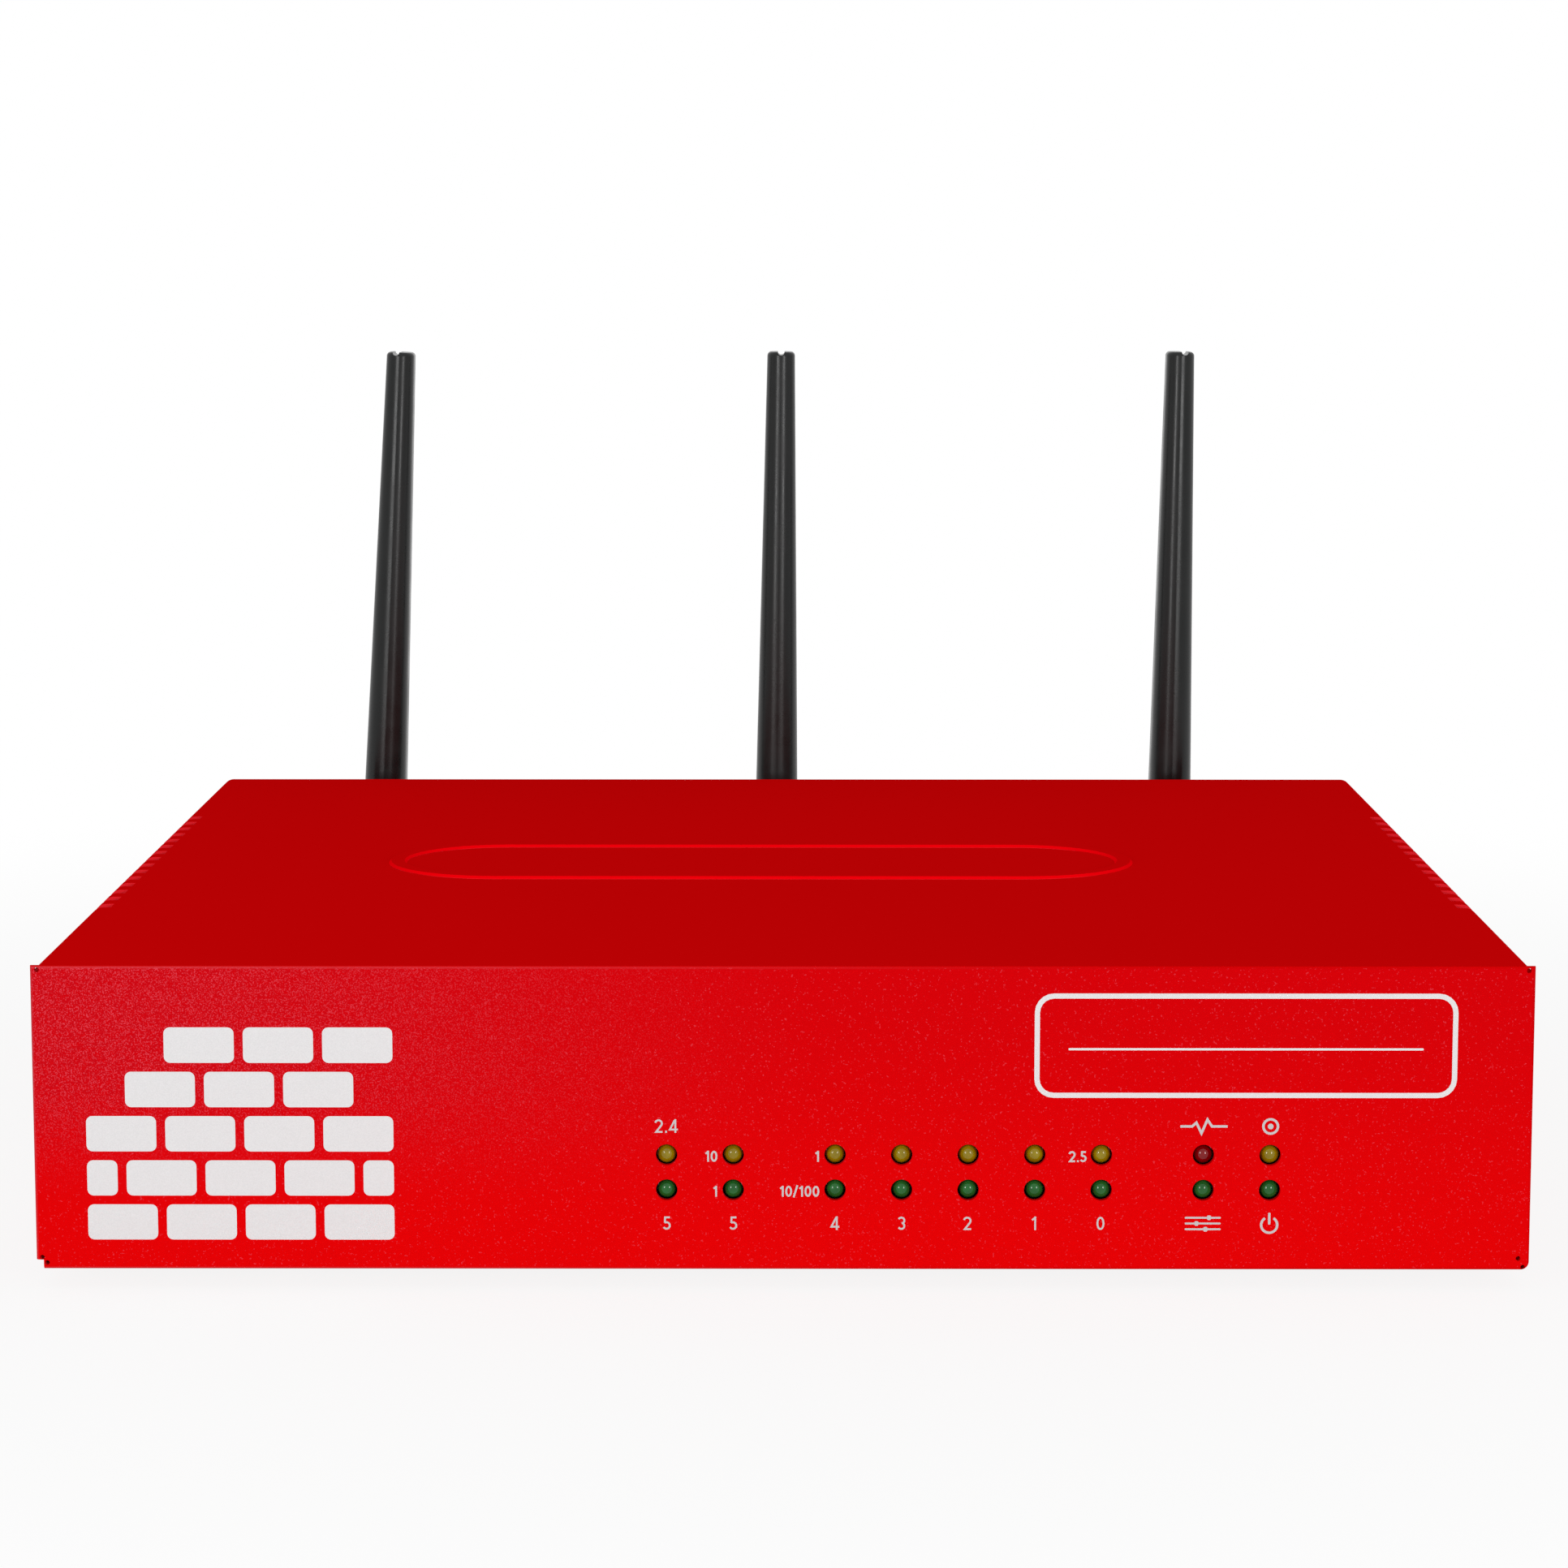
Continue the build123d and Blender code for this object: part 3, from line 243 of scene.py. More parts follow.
class StageSettings(PropertyGroup):
    """Camera, floor and light."""

    eye: FloatVectorProperty(
        name="Eye", description="Where the camera stands", subtype="XYZ", unit="LENGTH", size=3,
        default=(0.00242, FRONT_FACE - 0.59326, 0.15289), precision=5,
    )
    pitch: FloatProperty(
        name="Pitch", description="How far the camera looks down", subtype="ANGLE",
        unit="ROTATION", default=math.radians(7.584),
    )
    yaw: FloatProperty(
        name="Yaw", description="How far the camera turns to the left", subtype="ANGLE",
        unit="ROTATION", default=math.radians(0.211),
    )
    lens: FloatProperty(
        name="Lens", description="Focal length in millimetres", default=96.45, min=20,
    )
    front_power: FloatProperty(
        name="Front lamps", description="Power of each front soft box in watts", default=1.85,
        min=0,
    )
    top_power: FloatProperty(
        name="Top lamp", description="Power of the lamp over the appliance in watts", default=0.5,
        min=0,
    )
    ambient: FloatProperty(
        name="Ambient", description="Strength of the even light from all sides", default=0.5, min=0,
    )


SETTINGS = {
    "appliance_paint": PaintSettings,
    "appliance_print": PrintSettings,
    "appliance_bricks": BrickSettings,
    "appliance_sockets": SocketSettings,
    "appliance_stage": StageSettings,
}


# Node helpers


def adder(tree):
    """A function that adds a node to a tree, sets its values and links {input: output socket}."""

    def add(kind, sources=(), **values):
        node = tree.nodes.new(kind)
        for key, value in values.items():
            if key in node.bl_rna.properties:
                setattr(node, key, value)
            else:
                node.inputs[key].default_value = value
        for key, socket in dict(sources).items():
            tree.links.new(socket, node.inputs[key])
        return node

    return add


def fresh_material(name):
    """A new material, its main shader, and functions that add a node and feed the shader."""
    material = bpy.data.materials.new(name)
    material.use_nodes = True
    tree = material.node_tree
    shader = tree.nodes["Principled BSDF"]

    def feed(socket, key):
        tree.links.new(socket, shader.inputs[key])

    return material, shader, adder(tree), feed


def place(add):
    """The object coordinates, which are metres in the shared frame."""
    return add("ShaderNodeTexCoord").outputs["Object"]


def parts_of(add, vector):
    """The X, Y and Z of a vector."""
    return add("ShaderNodeSeparateXYZ", {0: vector}).outputs


def calculate(add, operation, *values):
    """The result of an operation on one or two values."""
    return add("ShaderNodeMath", dict(enumerate(values)), operation=operation).outputs[0]


def product(add, first, *others):
    """Values multiplied by each other."""
    for value in others:
        first = calculate(add, "MULTIPLY", first, value)
    return first


def ramp(add, value, low, high, first=0.0, last=1.0):
    """A grey that goes from first to last while the value goes from low to high."""
    node = add("ShaderNodeValToRGB", {"Fac": value})
    for element, at, grey in zip(node.color_ramp.elements, (low, high), (first, last)):
        element.position = at
        element.color = (grey, grey, grey, 1.0)
    return node.outputs["Color"]


def mix(add, factor, first, second):
    """Mix two colours by a socket. Each colour is a socket or a value."""
    node = add("ShaderNodeMix", {0: factor}, data_type="RGBA")
    for index, value in ((6, first), (7, second)):
        if isinstance(value, bpy.types.NodeSocket):
            node.id_data.links.new(value, node.inputs[index])
        else:
            node.inputs[index].default_value = (*value, 1.0)
    return node.outputs[2]


def bump(add, height, depth, below=None):
    """A bump from a height between 0 and 1, depth metres deep."""
    sources = {"Height": height}
    if below is not None:
        sources["Normal"] = below
    return add("ShaderNodeBump", sources, Distance=depth, Strength=1.0).outputs["Normal"]


def noise(add, at, size, detail=2.0, roughness=0.5):
    """Noise with features of about this size in metres."""
    return add("ShaderNodeTexNoise", {"Vector": at}, Scale=1 / size, Detail=detail,
               Roughness=roughness).outputs["Fac"]


def span(add, value, low, high, start=0.0):
    """A smooth rise from a start where the value is at low to 1 where it is at high."""
    node = add("ShaderNodeMapRange", {"Value": value}, interpolation_type="SMOOTHSTEP")
    node.inputs["From Min"].default_value = low
    node.inputs["From Max"].default_value = high
    node.inputs["To Min"].default_value = start
    return node.outputs["Result"]


def bends(add, normal):
    """How far a surface turns away from all three axes: 0 on flat panels, more on folds."""
    x, y, z = (calculate(add, "ABSOLUTE", normal[axis]) for axis in "XYZ")
    widest = calculate(add, "MAXIMUM", calculate(add, "MAXIMUM", x, y), z)
    return ramp(add, widest, 0.78, 0.97, 0.3, 0.0)


def seen_rays(add):
    """1 for a ray from the camera, from a mirror or through glass, and 0 for any other."""
    path = add("ShaderNodeLightPath").outputs
    mirrored = calculate(add, "MAXIMUM", path["Is Camera Ray"], path["Is Glossy Ray"])
    return calculate(add, "MAXIMUM", mirrored, path["Is Transmission Ray"])


# Finishes


def powder_coat(name):
    """Red powder coat, with painted glints on upright faces that are denser at the front's upper
    left, and painted shade, sheen and highlights.
    """
    paint = bpy.context.scene.appliance_paint
    material, shader, add, feed = fresh_material(name)
    at = place(add)
    spot = parts_of(add, at)
    normal = parts_of(add, add("ShaderNodeTexCoord").outputs["Normal"])
    level = calculate(add, "ABSOLUTE", normal["Z"])
    facing = span(add, calculate(add, "ABSOLUTE", normal["Y"]), 0.7, 0.9)
    upright = span(add, level, 0.9, 0.6)
    sloped = product(add, span(add, level, 0.999, 0.97), span(add, level, 0.3, 0.5))

    # Zones of the painted shade, sheen, glints and highlights: each is 1 inside its zone and 0
    # outside it
    behind_front = span(add, spot["Y"], FRONT_FACE + 2 * MM, FRONT_FACE + 3 * MM)
    near_front = span(add, spot["Y"], FRONT_FACE + 3 * MM, FRONT_FACE + 2 * MM)
    before_rear = span(add, spot["Y"], REAR_FACE - 6 * MM, REAR_FACE - 7 * MM)
    off_the_sides = span(add, calculate(add, "ABSOLUTE", spot["X"]),
                         COVER_HIGH.x - 5 * MM, COVER_HIGH.x - 6 * MM)
    leftness = span(add, spot["X"], 10 * MM, COVER_LOW.x + 4 * MM)
    leftmost = span(add, spot["X"], 60 * MM, COVER_LOW.x)
    high_up = span(add, spot["Z"], 12 * MM, 34 * MM)
    # how high a face stands, which sets the painted shade
    height = span(add, spot["Z"], UNDERSIDE, COVER_HIGH.z)
    upper_left = product(add, leftness, high_up, upright)

    peel = noise(add, at, paint.peel)
    fine = noise(add, at, paint.grain, 1.0)
    stray = noise(add, at, 1.5 * paint.grain, 1.0)
    layers = (
        # painted shade: upright faces darker towards the top
        (product(add, height, upright), paint.shade),
        # painted sheen and shade at the front's upper left
        (product(add, upper_left, ramp(add, peel, 0.3, 0.6, 0.35)), paint.haze),
        # painted glints, dense at the front's upper left
        (product(add, ramp(add, fine, 0.54, 0.66, 0.0, 0.75), upper_left), paint.fleck),
        # painted glints, sparse over all upright faces
        (product(add, ramp(add, stray, 0.67, 0.75, 0.0, 0.5), upright), paint.fleck),
        # painted highlight on the front's folds, fading from the left
        (product(add, bends(add, normal), leftmost, near_front), paint.bend),
        # painted highlight on the pressed outline's slopes
        (product(add, sloped, off_the_sides, behind_front), paint.crease),
        # painted light on faces turned to the front or the rear, such as the slots' cut walls
        (product(add, facing, behind_front, before_rear), paint.edge),
    )
    body = paint.colour
    for share, tint in layers:
        body = mix(add, share, body, tint)
    feed(body, "Base Color")
    feed(bump(add, fine, 0.006 * MM, bump(add, peel, 0.010 * MM)), "Normal")
    shader.inputs["Roughness"].default_value = 0.7
    shader.inputs["Specular IOR Level"].default_value = 0.0
    return material


def moulded(name, colour, roughness, specular, worn=1.35):
    """Moulded plastic or rubber: an etched grain, uneven gloss and slightly paler rubbed places."""
    material, shader, add, feed = fresh_material(name)
    at = place(add)
    grain = 0.12 * MM
    fine = noise(add, at, grain, 3.0, 0.6)
    patches = noise(add, at, 60 * grain, 4.0, 0.6)
    rubbed = tuple(min(1.0, worn * c + 0.002) for c in colour)
    feed(mix(add, ramp(add, patches, 0.4, 0.7), colour, rubbed), "Base Color")
    feed(ramp(add, patches, 0.3, 0.7, roughness - 0.05, roughness + 0.06), "Roughness")
    feed(bump(add, fine, 0.004 * MM), "Normal")
    shader.inputs["Specular IOR Level"].default_value = specular
    return material


def plated(name, colour, roughness, streak=(1.0, 1.0, 1.0), grain=0.2 * MM):
    """Plated or rolled metal: streaks along one direction and a slightly uneven gloss."""
    material, shader, add, feed = fresh_material(name)
    at = place(add)
    drawn = add("ShaderNodeVectorMath", {0: at}, operation="MULTIPLY")
    drawn.inputs[1].default_value = streak
    lines = noise(add, drawn.outputs[0], grain, 3.0, 0.65)
    patches = noise(add, at, 40 * grain, 3.0)
    dull = tuple(0.82 * c for c in colour)
    feed(mix(add, ramp(add, lines, 0.3, 0.7), dull, colour), "Base Color")
    feed(ramp(add, patches, 0.3, 0.7, roughness - 0.06, roughness + 0.07), "Roughness")
    feed(bump(add, lines, 0.002 * MM), "Normal")
    shader.inputs["Metallic"].default_value = 1.0
    return material


def tinted_lens(name, colour, deep):
    """Tinted epoxy of an indicator light: clear gloss over a cloudy tint."""
    material, shader, add, feed = fresh_material(name)
    cloud = noise(add, place(add), 1.6 * MM)
    feed(mix(add, ramp(add, cloud, 0.35, 0.65), deep, colour), "Base Color")
    shader.inputs["Roughness"].default_value = 0.05
    shader.inputs["Specular IOR Level"].default_value = 0.35
    return material


def circuit_board(name):
    """Solder mask over copper: wide planes, fine tracks and a woven grain."""
    material, shader, add, feed = fresh_material(name)
    at = place(add)
    bare, copper, thread = (0.008, 0.085, 0.035), (0.016, 0.15, 0.06), (0.03, 0.2, 0.09)
    weave = noise(add, at, 0.3 * MM)
    cells = add("ShaderNodeTexVoronoi", {"Vector": at}, Scale=160.0, distance="MANHATTAN",
                feature="F1").outputs["Distance"]
    tracks = ramp(add, cells, 0.42, 0.46)
    body = mix(add, tracks, bare, copper)
    feed(mix(add, ramp(add, weave, 0.4, 0.8, 0.0, 0.35), body, thread), "Base Color")
    feed(bump(add, tracks, 0.02 * MM), "Normal")
    shader.inputs["Roughness"].default_value = 0.32
    return material


def screen_ink(name, colour):
    """Matt screen ink with the slight mottle of the mesh that it was printed through."""
    material, shader, add, feed = fresh_material(name)
    mesh = noise(add, place(add), 0.14 * MM)
    faded = tuple(0.93 * c for c in colour)
    feed(mix(add, ramp(add, mesh, 0.35, 0.65), faded, colour), "Base Color")
    feed(bump(add, mesh, 0.003 * MM), "Normal")
    shader.inputs["Roughness"].default_value = 0.6
    shader.inputs["Specular IOR Level"].default_value = 0.2
    return material


# For each slot, the function that makes its material and what it takes after the name
FINISHES = {
    "red_paint": (powder_coat,),
    "black_plastic": (moulded, (0.003, 0.004, 0.004), 0.27, 0.3),
    "black_rubber": (moulded, (0.014, 0.014, 0.014), 0.72, 0.25),
    "steel": (plated, (0.50, 0.50, 0.51), 0.34, (1.0, 0.12, 1.0)),
    "gold_plate": (plated, (0.83, 0.62, 0.25), 0.26, (1.0, 1.0, 1.0), 0.1 * MM),
    "aluminium": (plated, (0.75, 0.75, 0.76), 0.36, (1.0, 0.08, 1.0)),
    "board_green": (circuit_board,),
    "chip_black": (moulded, (0.02, 0.02, 0.022), 0.55, 0.4),
    "amber_lens": (tinted_lens, (0.30, 0.235, 0.0), (0.23, 0.17, 0.0)),
    "green_lens": (tinted_lens, (0.010, 0.15, 0.022), (0.006, 0.10, 0.014)),
    "red_lens": (tinted_lens, (0.24, 0.0, 0.002), (0.16, 0.0, 0.001)),
    "white_plastic": (moulded, (0.8, 0.8, 0.78), 0.35, 0.4, 0.97),
    "lead_black": (moulded, (0.03, 0.03, 0.03), 0.5, 0.3),
}


def finish(slot):
    """The material of a slot, made when it is first asked for."""
    name = "finish_" + slot
    make, *values = FINISHES[slot]
    return bpy.data.materials.get(name) or make(name, *values)


def ink(name):
    """The material of one of the two inks, made when it is first asked for."""
    style = bpy.context.scene.appliance_print
    colour = {"white": style.white_ink, "grey": style.ink}[name]
    return bpy.data.materials.get("ink_" + name) or screen_ink("ink_" + name, colour)


# Mesh helpers


def mesh_from(bm, name, smooth_below=None):
    """Close a bmesh into a mesh, smooth where faces meet at less than an angle in degrees."""
    bmesh.ops.recalc_face_normals(bm, faces=bm.faces[:])
    mesh = bpy.data.meshes.new(name)
    bm.to_mesh(mesh)
    bm.free()
    if smooth_below is not None:
        mesh.shade_smooth()
        mesh.set_sharp_from_angle(angle=math.radians(smooth_below))
    return mesh


def add_piece(name, bm, slot, material=None, smooth_below=None, body="chassis", replaced=()):
    """Add a bmesh to the scene as a piece that rides on a body."""
    mesh = mesh_from(bm, name, smooth_below)
    mesh.materials.append(material or finish(slot))
    piece = bpy.data.objects.new(name, mesh)
    bpy.context.scene.collection.objects.link(piece)
    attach(piece, body)
    if replaced:
        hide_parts(*replaced)
    return piece


def add_print(name, bm, colour, body="chassis"):
    """Add a bmesh to the scene as print in one of the two inks."""
    return add_piece(name, bm, "white_plastic", ink(colour), body=body)


def middle_of(node):
    """The middle of a node's box."""
    low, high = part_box(node)
    return (low + high) / 2


def on_front(across, up):
    """The drawing plane of the front panel, at a place across and up: its depth points outwards."""
    return Matrix(((1, 0, 0, across), (0, 0, -1, FRONT_FACE), (0, 1, 0, up), (0, 0, 0, 1)))


def on_rear(across, up, out=0.0):
    """The drawing plane of the rear panel, seen from behind."""
    return Matrix(((-1, 0, 0, across), (0, 0, 1, REAR_FACE + out), (0, 1, 0, up), (0, 0, 0, 1)))


def from_side(across, out, up):
    """A drawing plane seen from the side: its x runs out to the rear and its y runs up."""
    return Matrix(((0, 0, 1, across), (1, 0, 0, out), (0, 1, 0, up), (0, 0, 0, 1)))


def scaled(points):
    """Points given in millimetres, in metres."""
    return [(x * MM, y * MM) for x, y in points]


def arc(centre, radius, start, end, steps):
    """Points along an arc. Angles are in degrees, anticlockwise from +x."""
    angles = [math.radians(start + (end - start) * i / steps) for i in range(steps + 1)]
    return [(centre[0] + radius * math.cos(a), centre[1] + radius * math.sin(a)) for a in angles]


def circle(radius, steps=24):
    """The outline of a circle."""
    return arc((0, 0), radius, 0, 360, steps)[:-1]


def rounded(width, height, radius, centre=(0.0, 0.0), steps=5):
    """The outline of a rounded rectangle."""
    x, y = width / 2 - radius, height / 2 - radius
    outline = []
    for cx, cy, start in ((x, y, 0), (-x, y, 90), (-x, -y, 180), (x, -y, 270)):
        outline += arc((centre[0] + cx, centre[1] + cy), radius, start, start + 90, steps)
    return outline


def offset(points, distance):
    """A closed outline moved inwards by a distance, with its points anticlockwise."""
    points = [Vector(p) for p in points]
    moved = []
    for before, point, after in zip(points[-1:] + points[:-1], points, points[1:] + points[:1]):
        first = (point - before).normalized()
        second = (after - point).normalized()
        along = (first + second).normalized()
        moved.append(point + Vector((-along.y, along.x)) * distance / along.dot(first))
    return moved


def line_at(bm, outline, height, plane):
    """Add the points of an outline at a height over a drawing plane."""
    return [bm.verts.new(plane @ Vector((x, y, height))) for x, y in outline]


def walls(bm, lower, upper):
    """Join two closed lines of as many points by a band of faces."""
    for i in range(len(lower)):
        bm.faces.new((lower[i - 1], lower[i], upper[i], upper[i - 1]))


def slab(bm, outline, depth, plane, start=0.0):
    """Add a flat plate: an outline of (x, y) points, depth thick, on a drawing plane."""
    lower = line_at(bm, outline, start, plane)
    upper = line_at(bm, outline, start + depth, plane)
    bm.faces.new(lower[::-1])
    bm.faces.new(upper)
    walls(bm, lower, upper)


def block(bm, x, width, ys, zs):
    """Add a box, width wide around x, between two depths and between two heights."""
    low, high = x - width / 2, x + width / 2
    outline = ((low, ys[0]), (high, ys[0]), (high, ys[1]), (low, ys[1]))
    slab(bm, outline, zs[1] - zs[0], Matrix.Translation((0, 0, zs[0])))


def ribbon(bm, points, width, depth, plane, closed=False):
    """Add a line of even width along (x, y) points, with mitred corners."""
    points = [Vector(p) for p in points]
    count = len(points)
    rings = []
    for i, point in enumerate(points):
        before = points[i - 1] if closed or i else None
        after = points[(i + 1) % count] if closed or i < count - 1 else None
        steps = [(b - a).normalized() for a, b in ((before, point), (point, after)) if a and b]
        along = (steps[0] + steps[-1]).normalized()
        stretch = 1 / max(MITRE_LIMIT, along.dot(steps[0]))
        side = Vector((-along.y, along.x)) * width / 2 * stretch
        edges = (point + side, point - side)
        lower, upper = (line_at(bm, edges, height, plane) for height in (0.0, depth))
        rings.append((*lower, *upper[::-1]))
    for i in range(count if closed else count - 1):
        walls(bm, rings[i], rings[(i + 1) % count])
    if not closed:
        bm.faces.new(rings[0])
        bm.faces.new(rings[-1])


def cup(bm, outline, wall, depth, plane, back):
    """Add a lining: walls inside an outline, depth deep into the plane, with a back plate."""
    inner = offset(outline, wall)
    lines = ((outline, -depth), (outline, 0.0), (inner, 0.0), (inner, back - depth))
    loops = [line_at(bm, line, height, plane) for line, height in lines]
    for lower, upper in zip(loops, loops[1:]):
        walls(bm, lower, upper)
    bm.faces.new(loops[0])
    bm.faces.new(loops[3])


def turned(bm, profile, plane, steps=48):
    """Add a solid of revolution: (radius, height) points around an axis, closed on it."""
    rings = [
        line_at(bm, circle(radius, steps) if radius else [(0, 0)], height, plane)
        for radius, height in profile
    ]
    for lower, upper in zip(rings, rings[1:]):
        for i in range(steps):
            j = (i + 1) % steps
            corners = [lower[k % len(lower)] for k in (i, j)]
            corners += [upper[k % len(upper)] for k in (j, i)]
            bm.faces.new(list(dict.fromkeys(corners)))


def cut(bm, cutter):
    """A closed bmesh with another one cut out of it."""
    solid, tool = (bpy.data.objects.new("cut", mesh_from(shape, "cut")) for shape in (bm, cutter))
    for stand_in in (solid, tool):
        bpy.context.scene.collection.objects.link(stand_in)
    modifier = solid.modifiers.new("cut", "BOOLEAN")
    modifier.operation = "DIFFERENCE"
    modifier.solver = "EXACT"
    modifier.object = tool
    result = bmesh.new()
    result.from_mesh(solid.evaluated_get(bpy.context.evaluated_depsgraph_get()).data)
    for stand_in in (solid, tool):
        bpy.data.objects.remove(stand_in)
    return result


OVAL = [(0.29 + 0.22 * x, 0.5 + 0.42 * y) for x, y in circle(1.0)]

# Each figure's strokes as lines of (x, y) points and its advance, for figures of height 1
FIGURES = {
    "0": ([OVAL + OVAL[:1]], 0.72),
    "1": ([[(0.05, 0.74), (0.26, 0.9)], [(0.28, 0.0), (0.28, 1.0)]], 0.52),
    "2": ([arc((0.27, 0.68), 0.24, 165, -38, 12) + [(0.1, 0.07), (0.56, 0.07)]], 0.72),
    "3": ([arc((0.25, 0.7), 0.22, 150, -80, 12), arc((0.25, 0.3), 0.22, 80, -150, 12)], 0.6),
    "4": ([[(0.64, 0.24), (0.07, 0.24), (0.42, 0.94)], [(0.46, 0.0), (0.46, 1.0)]], 0.74),
    "5": ([[(0.5, 0.92), (0.15, 0.92), (0.13, 0.53)],
           arc((0.25, 0.32), 0.24, 122, -150, 14)], 0.62),
    ".": ([[(0.09, 0.0), (0.09, 0.16)]], 0.3),
    "/": ([[(0.02, -0.06), (0.36, 1.06)]], 0.5),
}
LAST_GAP = 0.08
LAYER = 1.2  # a line that crosses another is thicker by this, so that no two faces coincide


def number(bm, text, height, plane, depth, weight=0.135, to_left=False):
    """Add figures of a height whose middle, or right end, is at the drawing plane's origin."""
    width = sum(FIGURES[c][1] for c in text) - LAST_GAP
    x = -width if to_left else -width / 2
    for character in text:
        lines, advance = FIGURES[character]
        for line, thickness in zip(lines, (depth, LAYER * depth)):
            closed = line[0] == line[-1]
            points = [((x + px) * height, (py - 0.5) * height) for px, py in line]
            ribbon(bm, points[:-1] if closed else points, weight * height, thickness, plane, closed)
        x += advance


def middles(values, gap):
    """The middles of the groups of values that lie closer together than a gap."""
    values = sorted(values)
    groups = [[values[0]]]
    for value in values[1:]:
        if value - groups[-1][-1] > gap:
            groups.append([])
        groups[-1].append(value)
    return [(group[0] + group[-1]) / 2 for group in groups]


# Operators


class APPLIANCE_OT_finishes(Operator):
    """Give every solid of the appliance the finish of its material slot"""

    bl_idname = "appliance.finishes"
    bl_label = "Finishes"

    def execute(self, context):
        for row in frame["record"]["subparts"]:
            mesh = frame["nodes"][row["node"]].data
            mesh.materials.clear()
            mesh.materials.append(finish(row["material_slot"]))
        return {"FINISHED"}


class APPLIANCE_OT_light_numbers(Operator):
    """Print the numbers and the marks around the indicator lights"""

    bl_idname = "appliance.light_numbers"
    bl_label = "Numbers and marks"

    def execute(self, context):
        style = context.scene.appliance_print
        points = frame["nodes"]["green_lights"].data.vertices
        columns = middles([v.co.x for v in points], 2 * MM)
        if len(columns) != LIGHT_COLUMNS:
            raise RuntimeError(f"expected {LIGHT_COLUMNS} columns of lights, found {len(columns)}")
        upper = UNDERSIDE + style.upper_line
        lower = UNDERSIDE + style.lower_line
        bm = bmesh.new()
        texts = [("2.4", 0, upper), ("5", 0, lower)]
        texts += [(str(5 - i), i + 1, lower) for i in range(6)]
        for text, column, z in texts:
            plane = on_front(columns[column], z)
            number(bm, text, style.number_height, plane, style.thickness)
        add_print("port_numbers", bm, "grey")
        self.speeds(style, columns)
        self.state_marks(style, columns[7:], upper, lower)
        return {"FINISHED"}

    def speeds(self, style, columns):
        """Small numbers that end just left of a light."""
        clear = 2.2 * MM
        drop = 0.2 * MM
        weight = 0.17
        amber = middle_of("amber_lights").z
        green = middle_of("green_lights").z
        bm = bmesh.new()
        for text, column, z in (("10", 1, amber), ("1", 1, green), ("1", 2, amber),
                                ("10/100", 2, green), ("2.5", 6, amber)):
            plane = on_front(columns[column] - clear, z - drop)
            number(bm, text, style.small_height, plane, style.thickness, weight, to_left=True)
        add_print("speed_numbers", bm, "grey")

    def state_marks(self, style, columns, upper, lower):
        """A pulse line, a ring with a dot, three sliders and the power symbol."""
        line = 0.36 * MM
        depth = style.thickness
        bm = bmesh.new()
        pulse = ((-3.4, 0), (-1.7, 0), (-1.1, 0.55), (-0.35, -1.0), (0.5, 1.0), (1.15, 0), (3.4, 0))
        ribbon(bm, scaled(pulse), line, depth, on_front(columns[0], upper))
        plane = on_front(columns[1], upper)
        ribbon(bm, circle(1.05 * MM), line, depth, plane, closed=True)
        slab(bm, circle(0.42 * MM), depth, plane)
        plane = on_front(columns[0], lower)
        for knob_x, y in scaled(((0.9, 0.85), (-0.9, 0.0), (0.4, -0.85))):
            slab(bm, rounded(5.2 * MM, 0.28 * MM, 0.13 * MM, (0, y)), depth, plane)
            slab(bm, rounded(0.62 * MM, 0.7 * MM, 0.25 * MM, (knob_x, y)), 1.1 * depth, plane)
        add_print("state_marks", bm, "grey")
        bm = bmesh.new()
        plane = on_front(columns[1], lower)
        ribbon(bm, arc((0, -0.2 * MM), 1.16 * MM, 122, 418, 30), line, depth, plane)
        slab(bm, rounded(line, 1.75 * MM, 0.1 * MM, (0, 0.72 * MM), 2), depth, plane)
        add_print("power_mark", bm, "grey")


class APPLIANCE_OT_brick_pattern(Operator):
    """Print the large white brick pattern at the left of the front panel"""

    bl_idname = "appliance.brick_pattern"
    bl_label = "Brick pattern"

    def execute(self, context):
        bricks = context.scene.appliance_bricks
        corner = 0.9 * MM
        # Each course from the bottom: how far it starts in, and its bricks, in brick lengths
        courses = (
            (0.0, (1, 1, 1, 1)),
            (0.0, (0.5, 1, 1, 1, 0.5)),
            (0.0, (1, 1, 1, 1)),
            (0.5, (1, 1, 1)),
            (1.0, (1, 1, 1)),
        )
        bm = bmesh.new()
        for level, (start, lengths) in enumerate(courses):
            x = COVER_LOW.x + bricks.left + start * bricks.length
            z = UNDERSIDE + bricks.bottom + (level + 0.5) * bricks.height + level * bricks.joint
            for share in lengths:
                length = share * bricks.length
                outline = rounded(length - bricks.joint, bricks.height, corner)
                plane = on_front(x + length / 2, z)
                slab(bm, outline, context.scene.appliance_print.thickness, plane)
                x += length
        add_print("brick_pattern", bm, "white")
        return {"FINISHED"}


class APPLIANCE_OT_write_on_field(Operator):
    """Print the empty field at the right of the front panel that a user writes on"""

    bl_idname = "appliance.write_on_field"
    bl_label = "Write-on field"

    def execute(self, context):
        depth = context.scene.appliance_print.thickness
        width, height, corner, border = 60 * MM, 14.5 * MM, 2.4 * MM, 0.75 * MM
        margin, rule, rule_drop = 4.5 * MM, 0.32 * MM, 0.5 * MM
        from_right, rise = 41.4 * MM, 33.0 * MM
        bm = bmesh.new()
        plane = on_front(COVER_HIGH.x - from_right, UNDERSIDE + rise)
        ribbon(bm, rounded(width, height, corner), border, depth, plane, closed=True)
        slab(bm, rounded(width - 2 * margin, rule, 0.14 * MM, (0, -rule_drop)), depth, plane)
        add_print("write_on_field", bm, "white")
        return {"FINISHED"}


